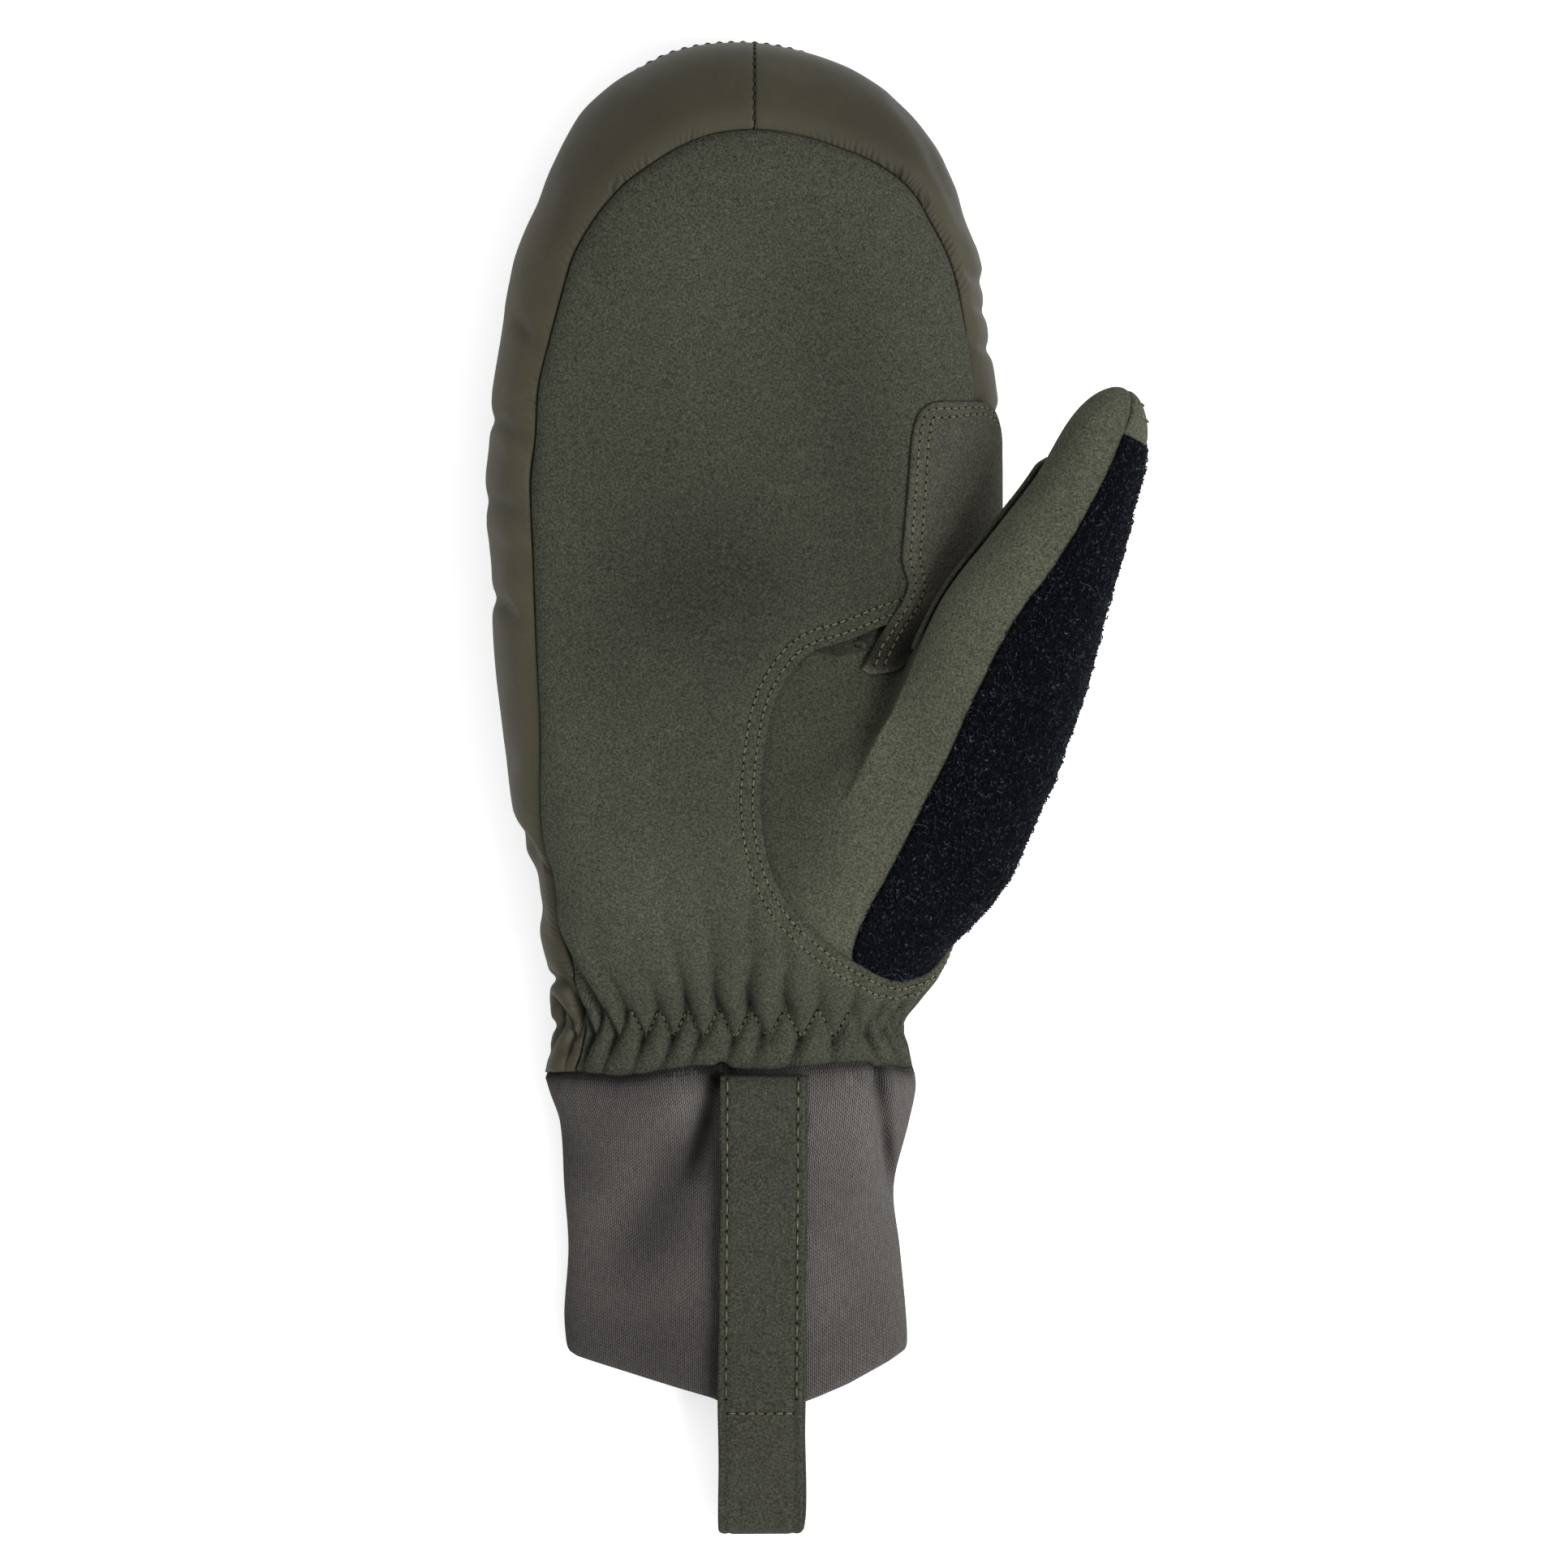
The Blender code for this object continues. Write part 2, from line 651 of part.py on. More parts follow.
def thumb_terry(look):
    def surface(u, w):
        at = terry_end() * w
        gap = turn_gap(at)
        start = THUMB_BACK_TURN + gap
        end = terry_turn(at) - gap
        return thumb_point(start + (end - start) * u, at)

    return shell("thumb_terry", look, surface, thumb_core(), 11, 17, TERRY_WALL)


def thumb_tip_cap(look):
    begin = terry_end() + SEAM_GAP / THUMB_LENGTH
    finish = 0.994

    def surface(u, w):
        at = begin + (finish - begin) * w
        gap = turn_gap(at)
        start = THUMB_BACK_TURN + gap
        end = terry_turn(at) - gap
        return thumb_point(start + (end - start) * u, at)

    return shell("thumb_tip_cap", look, surface, thumb_core(), 9, 5, THUMB_WALL)


def crotch_strip(look):
    """The reinforcement up the thumb's inner side."""
    def surface(u, w):
        return thumb_point(STRIP_TURN + STRIP_SPREAD * u, STRIP_FOOT + STRIP_RUN * w)

    return shell("crotch_strip", look, surface, thumb_centre(0.6), 4, 12, STRIP_WALL,
                 lift=LAYER_GAP + STRIP_WALL)


def knit_cuff(look):
    core = Vector((0, SEAM_Y - CUFF_LENGTH / 2, 0.2 * BODY_HEIGHT))
    return shell("knit_cuff", look, cuff_point, core, 40, 7, CUFF_WALL)


def loop_path():
    """The strap's middle line: up the cuff underneath, and back over the fold."""
    clear = 2 * LAYER_GAP + LOOP_WALL / 2
    pitch = LOOP_WALL + LAYER_GAP
    seated = []
    for step in range(LOOP_STEPS + 1):
        down = step / LOOP_STEPS
        y = SEAM_Y - SEAM_GAP - down * LOOP_LENGTH
        share = (SEAM_Y - y) / CUFF_LENGTH
        on_cuff = 1 + CUFF_POINT / CUFF_LENGTH
        height = BODY_HEIGHT * along_curve(CUFF_COLUMNS, CUFF_ROWS, "height", min(share, on_cuff))
        drop = max(share - on_cuff, 0.0) / (LOOP_LENGTH / CUFF_LENGTH - on_cuff)
        low = height * (1 - LOOP_DROP * smooth(drop)) + clear
        seated.append((y, low, smooth(drop * 2.2) * LOOP_PUFF))
    under = [Vector((0, y, low - puff)) for y, low, puff in seated]
    over = [Vector((0, y, low + pitch + puff)) for y, low, puff in seated]
    lower = under[-1]
    upper = over[-1]
    middle = (lower + upper) / 2
    radius = (upper - lower).length / 2
    fold = []
    for step in range(1, 6):
        turn = math.pi * step / 6
        fold.append(middle + Vector((0, -math.sin(turn), -math.cos(turn))) * radius)
    return under + fold + over[::-1]


def pull_loop(look):
    path = loop_path()
    count = len(path) - 1
    half = LOOP_WIDTH / 2

    def surface(u, w):
        place = min(max(w, 0.0), 1.0) * count
        at = min(int(place), count - 1)
        point = path[at].lerp(path[at + 1], place - at)
        return point + Vector((LOOP_OFFSET + half * (2 * u - 1), 0, 0))

    bm = bmesh.new()
    bmesh.ops.create_grid(bm, x_segments=1, y_segments=count, size=0.5)
    for vertex in bm.verts:
        vertex.co = surface(vertex.co.x + 0.5, vertex.co.y + 0.5)
    made = solid("pull_loop", bm, look)
    wall = made.modifiers.new("wall", "SOLIDIFY")
    wall.thickness = LOOP_WALL
    wall.offset = 0.0
    wall.use_even_offset = True
    return made


def cut(target, cutter):
    change = target.modifiers.new("opening", "BOOLEAN")
    change.operation = "DIFFERENCE"
    change.object = cutter
    change.use_self = True


def opening_cutter():
    """A lens through the palm along the rim of the opening, wider by the seam's gap."""
    bm = bmesh.new()
    bmesh.ops.create_grid(bm, x_segments=LENS_STEPS, y_segments=3, size=0.5)
    middle = Vector((0, 0, 0))
    for step in range(LENS_STEPS):
        middle += opening_point(360 * step / LENS_STEPS, GUSSET_SINK) / LENS_STEPS
    for vertex in bm.verts:
        turn = 360 * (vertex.co.x + 0.5)
        level = round((vertex.co.y + 0.5) * 3)
        rim = opening_point(turn, LENS_UNDER if level < 2 else -LENS_OVER)
        flat = rim - middle
        wide = rim + flat.normalized() * SEAM_GAP
        if level == 0:
            vertex.co = middle - Vector((0, 0, 1.6 * LENS_UNDER))
        elif level == 3:
            vertex.co = middle + Vector((LENS_LEAN, 0, LENS_TOP))
        else:
            vertex.co = wide
    bmesh.ops.remove_doubles(bm, verts=bm.verts, dist=1e-6)
    bmesh.ops.triangulate(bm, faces=bm.faces)
    bmesh.ops.recalc_face_normals(bm, faces=bm.faces)
    return guide("opening_cutter", bm)


def thumb_clearance():
    """The thumb's outer form, wider by the gap that a layer keeps."""
    bm = bmesh.new()
    bmesh.ops.create_grid(bm, x_segments=32, y_segments=14, size=0.5)

    def surface(u, w):
        return thumb_point(360 * u, 0.9 * w)

    sign = outward_sign(surface, thumb_core())
    for vertex in bm.verts:
        u = vertex.co.x + 0.5
        w = vertex.co.y + 0.5
        inner = min(max(u, 0.01), 0.99)
        normal = normal_at(surface, inner, w) * sign
        beside_body = smooth(1 - abs(360 * u - 225) / 60)
        clear = LAYER_GAP * 1.5 + (STRIP_WALL + LAYER_GAP * 2) * min(2 * beside_body, 1.0)
        vertex.co = surface(u, w) + normal * clear
    bmesh.ops.remove_doubles(bm, verts=bm.verts, dist=LAYER_GAP)
    ends = [edge for edge in bm.edges if edge.is_boundary]
    bmesh.ops.holes_fill(bm, edges=ends, sides=0)
    bmesh.ops.triangulate(bm, faces=bm.faces)
    bmesh.ops.recalc_face_normals(bm, faces=bm.faces)
    return guide("thumb_clearance", bm)


def guide(name, bm):
    mesh = bpy.data.meshes.new(name)
    bm.to_mesh(mesh)
    bm.free()
    made = bpy.data.objects.new(name, mesh)
    made.hide_render = True
    made.display_type = "WIRE"
    cutters.objects.link(made)
    return made


for old in list(bpy.data.objects):
    bpy.data.objects.remove(old, do_unlink=True)

parts = bpy.data.collections.new("ski_mitten")
cutters = bpy.data.collections.new("cutters")
bpy.context.scene.collection.children.link(parts)
bpy.context.scene.collection.children.link(cutters)

shell_look = material("shell_fabric", (0.062, 0.060, 0.045), 0.55)
palm_look = material("palm_suede", (0.060, 0.060, 0.047), 0.85)
patch_look = material("patch_suede", (0.080, 0.076, 0.062), 0.85)
thumb_look = material("thumb_suede", (0.085, 0.086, 0.064), 0.85)
terry_look = material("terry", (0.007, 0.009, 0.013), 0.95)
cuff_look = material("cuff_knit", (0.078, 0.070, 0.065), 0.90)
strap_look = material("strap_suede", (0.060, 0.061, 0.050), 0.85)

back_panel(shell_look)
palm = palm_panel(palm_look)
side_wall("side_wall_outer", shell_look, -1)
side_wall("side_wall_thumb", shell_look, 1)
patch = index_patch(patch_look)
thumb_panel(thumb_look)
thumb_terry(terry_look)
thumb_tip_cap(thumb_look)
crotch_strip(patch_look)
knit_cuff(cuff_look)
pull_loop(strap_look)

lens = opening_cutter()
clearance = thumb_clearance()
for piece in (palm, patch):
    for cutter in (lens, clearance):
        cut(piece, cutter)
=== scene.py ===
# Ski mitten for the right hand, lying palm up: the finished look around its fixed frame.
# +X points to the thumb side, +Y to the fingertips, +Z up. Lengths are in metres.
import math

import bmesh
import bpy
import numpy as np
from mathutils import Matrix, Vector
from mathutils.bvhtree import BVHTree


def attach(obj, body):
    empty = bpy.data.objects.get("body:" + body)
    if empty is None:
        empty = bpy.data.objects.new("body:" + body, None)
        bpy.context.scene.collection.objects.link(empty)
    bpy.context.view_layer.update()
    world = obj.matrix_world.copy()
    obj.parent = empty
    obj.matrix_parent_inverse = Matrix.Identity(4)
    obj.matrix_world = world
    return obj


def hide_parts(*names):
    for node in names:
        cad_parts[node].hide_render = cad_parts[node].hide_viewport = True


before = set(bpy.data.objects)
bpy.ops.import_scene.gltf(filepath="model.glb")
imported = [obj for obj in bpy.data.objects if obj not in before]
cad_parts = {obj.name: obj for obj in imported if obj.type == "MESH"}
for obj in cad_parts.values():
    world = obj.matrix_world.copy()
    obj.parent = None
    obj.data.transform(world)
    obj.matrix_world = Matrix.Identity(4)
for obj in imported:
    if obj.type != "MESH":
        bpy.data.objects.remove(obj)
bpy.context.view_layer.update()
print("frame loaded:", len(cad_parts), "nodes")

# Driving sizes, the same as in the frame
body = {
    "palmWidth": 0.1138,
    "length": 0.1786,
    "tipLength": 0.0500,
    "height": 0.0430,
    "originShare": 0.6875,
    "edgeShare": 0.38,
    "flatShare": 0.72,
    "flatWay": 0.30,
    "fullness": 2.6,
    "backEdge": 0.43,
    "panelStraight": 18 / 25,
}
halfWidth = body["palmWidth"] / 2
seamY = -body["originShare"] * body["length"]
tipCentreY = seamY + body["length"]

# Sections from the cuff seam to the tip's centre, widths as shares of half the palm width
bodyRows = (
    ("along", "left", "right", "height", "fullRight", "palmLeft", "palmRight", "backRight"),
    ((0.000, 0.823, 0.620, 0.49, 2.6, 0.687, 0.40, 0.30),
     (0.032, 0.804, 0.604, 0.50, 2.6, 0.704, 0.40, 0.30),
     (0.060, 0.794, 0.585, 0.50, 2.6, 0.710, 0.39, 0.29),
     (0.088, 0.804, 0.649, 0.60, 2.6, 0.690, 0.37, 0.27),
     (0.118, 0.803, 0.722, 0.70, 2.5, 0.668, 0.36, 0.26),
     (0.173, 0.835, 0.791, 0.83, 2.3, 0.638, 0.36, 0.26),
     (0.244, 0.842, 0.829, 0.91, 2.2, 0.612, 0.36, 0.26),
     (0.279, 0.895, 0.848, 0.93, 2.2, 0.634, 0.36, 0.26),
     (0.325, 0.940, 0.870, 0.95, 2.2, 0.661, 0.36, 0.26),
     (0.425, 0.978, 0.905, 0.98, 2.1, 0.690, 0.37, 0.27),
     (0.526, 1.013, 0.930, 1.00, 2.1, 0.700, 0.41, 0.30),
     (0.627, 1.028, 0.943, 1.00, 2.2, 0.700, 0.48, 0.335),
     (0.728, 1.047, 0.946, 1.00, 2.4, 0.702, 0.56, 0.37),
     (0.788, 1.028, 0.946, 0.99, 2.5, 0.704, 0.61, 0.39),
     (0.849, 1.019, 0.943, 0.98, 2.6, 0.707, 0.642, 0.41),
     (0.909, 0.994, 0.911, 0.96, 2.6, 0.722, 0.640, 0.43),
     (0.970, 0.962, 0.889, 0.94, 2.6, 0.738, 0.655, 0.43),
     (1.000, 0.943, 0.886, 0.93, 2.6, 0.745, 0.677, 0.43)))

# Spokes of the rounded tip, from the thumb side
tipRows = (
    ("angle", "reach", "palm"),
    ((0, 1.000, 0.677), (14, 0.953, 0.698), (25, 0.957, 0.722), (42, 0.966, 0.772),
     (55, 0.977, 0.803), (75, 0.984, 0.821), (92, 1.000, 0.827), (108, 1.017, 0.829),
     (120, 1.010, 0.826), (135, 0.997, 0.817), (145, 0.967, 0.797), (155, 0.949, 0.778),
     (165, 0.948, 0.759), (180, 1.000, 0.745)))

cuffRows = (
    ("along", "left", "right", "height"),
    ((0.00, 0.823, 0.625, 0.49), (0.06, 0.803, 0.630, 0.45), (0.17, 0.763, 0.604, 0.42),
     (0.40, 0.747, 0.544, 0.38), (0.62, 0.731, 0.568, 0.35), (0.86, 0.747, 0.592, 0.33),
     (1.00, 0.738, 0.598, 0.31), (1.30, 0.730, 0.590, 0.29)))

# The rim of the thumb's opening: turn round the thumb, place along and way round the body
openingRows = (
    ("turn", "along", "round"),
    ((0, 0.240, 0.480), (25, 0.155, 0.540), (50, 0.112, 0.700), (75, 0.131, 0.836),
     (100, 0.180, 0.930), (125, 0.242, 0.977), (150, 0.325, 0.994), (165, 0.405, 0.988),
     (180, 0.468, 0.972), (195, 0.518, 0.934), (210, 0.530, 0.884), (225, 0.522, 0.835),
     (240, 0.512, 0.780), (262, 0.494, 0.700), (285, 0.456, 0.600), (305, 0.400, 0.520),
     (330, 0.325, 0.480), (360, 0.240, 0.480)))

thumb = {
    "length": 0.1129,
    "width": 0.0390,
    "rootAcross": 0.538,
    "rootAlong": 0.284,
    "sink": 0.0012,
    "capLength": 0.0105,
    "roundFrom": 0.86,
    "blend": 0.36,
    "farStart": 0.42,
    "farTurn": 250,
    "farSpread": 130,
    "backTurn": -75,
    "fullness": 2.3,
    "wall": 0.0010,
    "terryWall": 0.0018,
}
thumbRows = (
    ("at", "across", "along", "rise", "halfWidth", "halfDepth", "terry"),
    ((0.00, 0.000, 0.000, 0.58, 0.66, 0.36, 77),
     (0.20, 0.096, 0.104, 0.76, 0.60, 0.36, 88),
     (0.38, 0.177, 0.247, 0.90, 0.53, 0.34, 98),
     (0.55, 0.244, 0.413, 0.97, 0.48, 0.32, 95),
     (0.70, 0.304, 0.540, 0.98, 0.40, 0.31, 88),
     (0.86, 0.386, 0.715, 0.97, 0.31, 0.29, 78),
     (1.00, 0.456, 0.890, 0.93, 0.31, 0.29, 63)))

cuff = {"length": 0.0620, "point": 0.0150, "wall": 0.0016, "gap": 0.0007}
seams = {"dip": 0.0008, "reach": 0.0016, "tuck": 0.0012, "hemDip": 0.0006, "hemReach": 0.0008,
         "hemTuck": 0.0030}
onEdge = 1e-6


def readTable(table, name, at):
    # a smooth curve through one named column
    columns, rows = table
    data = np.array(rows, float)
    x = data[:, 0]
    y = data[:, columns.index(name)]
    slope = np.gradient(y, x)
    slope[1:-1] = (y[2:] - y[:-2]) / (x[2:] - x[:-2])
    at = np.clip(at, x[0], x[-1])
    i = np.clip(np.searchsorted(x, at, side="right") - 1, 0, len(x) - 2)
    span = x[i + 1] - x[i]
    t = (at - x[i]) / span
    return ((2 * t ** 3 - 3 * t ** 2 + 1) * y[i] + (t ** 3 - 2 * t ** 2 + t) * span * slope[i]
            + (3 * t ** 2 - 2 * t ** 3) * y[i + 1] + (t ** 3 - t ** 2) * span * slope[i + 1])


def smooth(share):
    share = np.clip(share, 0, 1)
    return share * share * (3 - 2 * share)


def bell(away, reach):
    return np.exp(-(away / reach) ** 2)


def fadeOut(away, reach):
    return np.exp(-away / reach)


def stack(x, y, z):
    return np.stack(np.broadcast_arrays(x, y, z), axis=-1).astype(float)


def unit(vectors):
    return vectors / np.maximum(np.linalg.norm(vectors, axis=-1, keepdims=True), 1e-12)


def lengthAlong(line):
    steps = np.linalg.norm(np.diff(line, axis=0), axis=-1)
    return np.concatenate([[0], np.cumsum(steps)])


def riseAt(reach, height, edge, fullness):
    reach = np.clip(np.abs(reach), 0, 1)
    return edge + (height - edge) * (1 - reach ** fullness) ** (1 / fullness)


def soleAt(reach, edge):
    curl = np.clip((np.abs(reach) - body["flatShare"]) / (1 - body["flatShare"]), 0, 1)
    return edge * (1 - np.sqrt(1 - curl * curl))


def reachAt(way, fullness):
    flatWay = body["flatWay"]
    flat = body["flatShare"]
    upper = np.clip(np.sin((1 - way) * np.pi), 0, None) ** (2 / fullness)
    turn = (way - flatWay) / (0.5 - flatWay) * np.pi / 2
    lower = np.where(way < flatWay, flat * way / flatWay, flat + (1 - flat) * np.sin(turn))
    return np.where(way >= 0.5, upper, lower)


def heightAt(way, height, fullness):
    edge = body["edgeShare"] * height
    reach = reachAt(way, fullness)
    return np.where(way >= 0.5, riseAt(reach, height, edge, fullness), soleAt(reach, edge))


def bodyRow(name, along):
    return readTable(bodyRows, name, along)


def bodyPoint(side, along, way):
    # a point of the body: side -1 or 1, along from the cuff seam, way 0 below to 1 on top
    wide = np.where(side < 0, bodyRow("left", along), bodyRow("right", along)) * halfWidth
    fullness = np.where(side < 0, body["fullness"], bodyRow("fullRight", along))
    height = body["height"] * bodyRow("height", along)
    x = side * reachAt(way, fullness) * wide
    return stack(x, seamY + along * body["length"], heightAt(way, height, fullness))


tipHeight = float(body["height"] * bodyRow("height", 1.0))


def tipSpoke(angle):
    wide = halfWidth * np.where(angle < 90, bodyRow("right", 1.0), bodyRow("left", 1.0))
    reach = readTable(tipRows, "reach", angle)
    turn = np.radians(angle)
    return wide * np.cos(turn) * reach, body["tipLength"] * np.sin(turn) * reach


def tipPoint(angle, way):
    x, y = tipSpoke(angle)
    reach = reachAt(way, body["fullness"])
    return stack(reach * x, tipCentreY + reach * y, heightAt(way, tipHeight, body["fullness"]))


def tipPlace(x, y, upper):
    wide = halfWidth * np.where(x >= 0, bodyRow("right", 1.0), bodyRow("left", 1.0))
    across = x / wide
    ahead = (y - tipCentreY) / body["tipLength"]
    angle = np.degrees(np.arctan2(ahead, across))
    reach = np.hypot(across, ahead) / readTable(tipRows, "reach", angle)
    reach = np.clip(reach, 0, 1)
    edge = body["edgeShare"] * tipHeight
    if upper:
        return stack(x, y, riseAt(reach, tipHeight, edge, body["fullness"]))
    return stack(x, y, soleAt(reach, edge))


def rimPoint(run, way):
    # run 0 to 1 up the little-finger side, 1 to 2 round the tip, 2 to 3 down the thumb side
    low = bodyPoint(-1, np.clip(run, 0, 1), way)
    middle = tipPoint(180 * np.clip(2 - run, 0, 1), way)
    high = bodyPoint(1, np.clip(3 - run, 0, 1), way)
    run = np.asarray(run)[..., None]
    return np.where(run <= 1, low, np.where(run < 2, middle, high))


def palmEdge(run):
    middle = readTable(tipRows, "palm", 180 * np.clip(2 - run, 0, 1))
    return np.where(run <= 1, bodyRow("palmLeft", np.clip(run, 0, 1)),
                    np.where(run < 2, middle, bodyRow("palmRight", np.clip(3 - run, 0, 1))))


def backEdge(run):
    return np.where(run <= 2, body["backEdge"], bodyRow("backRight", np.clip(3 - run, 0, 1)))


def runOf(ahead):
    straight = body["panelStraight"]
    return np.where(ahead <= straight, ahead / straight,
                    1 + 0.5 * (ahead - straight) / (1 - straight))


def panelPoint(across, ahead, crest, edgeOf):
    # a point of the palm or the back: across -1 to 1, ahead 0 at the cuff to 1 at the tip
    side = np.where(across < 0, -1, 1)
    share = np.abs(across)
    run = runOf(ahead)
    edge = edgeOf(np.where(side < 0, np.clip(run, 0, 1), 3 - np.clip(run, 0, 1)))
    straight = bodyPoint(side, np.clip(run, 0, 1), crest + (edge - crest) * share)
    turn = 180 * np.clip(run - 1, 0, 0.5)
    ends = []
    edges = []
    for tipRun in (1 + turn / 180, 2 - turn / 180):
        tipEdge = edgeOf(np.clip(tipRun, 1, 1.99999))
        x, y = tipSpoke(180 * (2 - tipRun))
        reach = reachAt(tipEdge, body["fullness"])
        ends.append((x * reach, tipCentreY + y * reach))
        edges.append(tipEdge)
    topX = tipSpoke(np.array(90.0))[0] * reachAt(edgeOf(np.array(1.5)), body["fullness"])
    middleX = topX * np.sin(np.radians(turn))
    middleY = (ends[0][1] + ends[1][1]) / 2
    endX = np.where(side < 0, ends[0][0], ends[1][0])
    endY = np.where(side < 0, ends[0][1], ends[1][1])
    edge = np.where(side < 0, edges[0], edges[1])
    part = reachAt(crest + (edge - crest) * share, body["fullness"]) / reachAt(edge, body["fullness"])
    tip = tipPlace(middleX + (endX - middleX) * part, middleY + (endY - middleY) * part, crest > 0.5)
    return np.where((run <= 1)[..., None], straight, tip)


def cuffPoint(way, along):
    # way 0 to 1 once round the cuff from below, along 0 at its seam to 1 at its hem
    side = np.where(way < 0.5, -1, 1)
    roundWay = np.where(way < 0.5, 2 * way, 2 - 2 * way)
    reach = reachAt(roundWay, body["fullness"])
    point = np.where(roundWay > 0.5, cuff["point"] / cuff["length"] * (1 - reach), 0)
    down = along * (1 + point)
    wide = halfWidth * np.where(side < 0, readTable(cuffRows, "left", down),
                                readTable(cuffRows, "right", down))
    height = body["height"] * readTable(cuffRows, "height", down)
    y = seamY - cuff["gap"] - down * cuff["length"]
    return stack(side * reach * wide, y, heightAt(roundWay, height, body["fullness"]))


def openingPoint(turn, sink):
    turn = np.asarray(turn) % 360
    along = readTable(openingRows, "along", turn)
    way = readTable(openingRows, "round", turn)
    step = 0.004
    ahead = bodyPoint(1, along + step, way) - bodyPoint(1, along - step, way)
    roundIt = bodyPoint(1, along, way + step) - bodyPoint(1, along, way - step)
    return bodyPoint(1, along, way) - unit(np.cross(ahead, roundIt)) * sink


def thumbCentre(at):
    across = readTable(thumbRows, "across", at) * thumb["length"]
    along = readTable(thumbRows, "along", at) * thumb["length"]
    return stack(thumb["rootAcross"] * halfWidth + across,
                 seamY + thumb["rootAlong"] * body["length"] + along,
                 readTable(thumbRows, "rise", at) * body["height"])


def domeTurn(at):
    roundFrom = thumb["roundFrom"]
    return np.clip((at - roundFrom) / (1 - roundFrom), 0, 1) * np.pi / 2


def tubePoint(turn, at):
    # the plain thumb tube, turn 0 at its outer side and 90 at its top
    roundFrom = thumb["roundFrom"]
    dome = domeTurn(at)
    at = np.where(at > roundFrom, roundFrom + (1 - roundFrom) * np.sin(dome), at)
    closing = np.cos(dome)[..., None]
    ahead = thumbCentre(np.minimum(at + 0.02, 1.0)) - thumbCentre(at - 0.02)
    outer = unit(stack(ahead[..., 1], -ahead[..., 0], 0 * ahead[..., 0]))
    upper = unit(np.cross(outer, ahead))
    slim = 1 - 0.10 * smooth((at - 0.62) / 0.30)
    wide = (readTable(thumbRows, "halfWidth", at) * thumb["width"] * slim)[..., None]
    deep = (readTable(thumbRows, "halfDepth", at) * thumb["width"])[..., None]
    angle = np.radians(turn)
    power = 2 / thumb["fullness"]
    across = (np.sign(np.cos(angle)) * np.abs(np.cos(angle)) ** power)[..., None]
    above = (np.sign(np.sin(angle)) * np.abs(np.sin(angle)) ** power)[..., None]
    return thumbCentre(at) + (outer * across * wide + upper * above * deep) * closing


def thumbPoint(turn, at):
    # the thumb with its gusset, at 0 on the opening and 1 at the tip
    turn, at = np.broadcast_arrays(np.asarray(turn, float), np.asarray(at, float))
    away = np.abs((turn % 360) - thumb["farTurn"])
    far = thumb["farStart"] * smooth(1 - away / thumb["farSpread"])
    share = smooth(at / thumb["blend"])[..., None]
    root = openingPoint(turn, thumb["sink"])
    point = root + (tubePoint(turn, far + (1 - far) * at) - root) * share
    shift = np.interp(point[..., 1], outerShift[:, 0], outerShift[:, 1])
    shift = shift * np.clip(np.cos(np.radians(turn)), 0, 1) * smooth(at / 0.08) * np.cos(domeTurn(at))
    return point + stack(shift, 0, 0)


def terryTurn(at):
    return readTable(thumbRows, "terry", at)


# corrections of the thumb's outer edge: place along Y and shift across, in millimetres
outerShift = np.array((
    (-96.0, 0.0), (-88.0, 2.6), (-79.2, 2.4), (-72.0, 0.4), (-64.8, -1.1), (-50.4, -1.8), (-36.0, -1.3),
    (-21.6, -0.9), (-7.2, 0.2), (7.2, -0.3), (21.6, -0.5), (28.8, -0.9))) / 1000


def hashNoise(points, size, seed=0):
    # smooth noise from -1 to 1 with features of one size
    p = np.asarray(points) / size + seed * 17.31
    base = np.floor(p)
    f = p - base
    f = f * f * (3 - 2 * f)
    total = 0
    for corner in range(8):
        offset = np.array([(corner >> k) & 1 for k in range(3)])
        value = np.sin((base + offset) @ np.array([127.1, 311.7, 74.7]) + seed * 3.7) * 43758.5453
        value = 2 * (value - np.floor(value)) - 1
        total = total + value * np.prod(np.where(offset, f, 1 - f), axis=-1)
    return total


def rowNoise(place, size, seed):
    return hashNoise(stack(place, 0, 0), size, seed)


def inMillimetres(rows):
    return np.array(rows, float) / 1000


def foldDepth(points, folds):
    # depth of soft straight folds, each from one end to the other in plan
    depth = np.zeros(points.shape[:-1])
    for x0, y0, x1, y1, deep, reach in folds:
        start = np.array([x0, y0])
        run = np.array([x1, y1]) - start
        offset = points[..., :2] - start
        share = np.clip(offset @ run / (run @ run), 0, 1)
        away = np.linalg.norm(offset - share[..., None] * run, axis=-1) / reach
        depth = depth + deep * np.exp(-away ** 2) * (0.35 + 0.65 * np.sin(np.pi * share))
    return depth


def nearLine(points, line):
    # distance from each point to a line of closely set points
    line = np.asarray(line)
    near = np.empty(len(points))
    square = (line ** 2).sum(-1)
    for start in range(0, len(points), 8000):
        some = points[start:start + 8000]
        apart = (some ** 2).sum(-1)[:, None] + square[None] - 2 * some @ line.T
        near[start:start + 8000] = np.sqrt(np.clip(apart.min(1), 0, None))
    return near


def spaced(line, pitch, start=0.0):
    # evenly set places along a line of points
    away = lengthAlong(line)
    at = np.arange(start, away[-1], pitch)
    return np.stack([np.interp(at, away, line[:, k]) for k in range(line.shape[1])], axis=-1)


# Seam lines of the body, used by the pieces on both sides of them
runs = np.linspace(0, 3, 1500)
palmSeam = rimPoint(runs, palmEdge(runs))
backSeam = rimPoint(runs, backEdge(runs))
turns = np.linspace(0, 360, 721)
thumbRim = openingPoint(turns, 0.0)


def seamDip(distance, dip=seams["dip"], reach=seams["reach"]):
    return dip * np.exp(-distance / reach * 1.4)


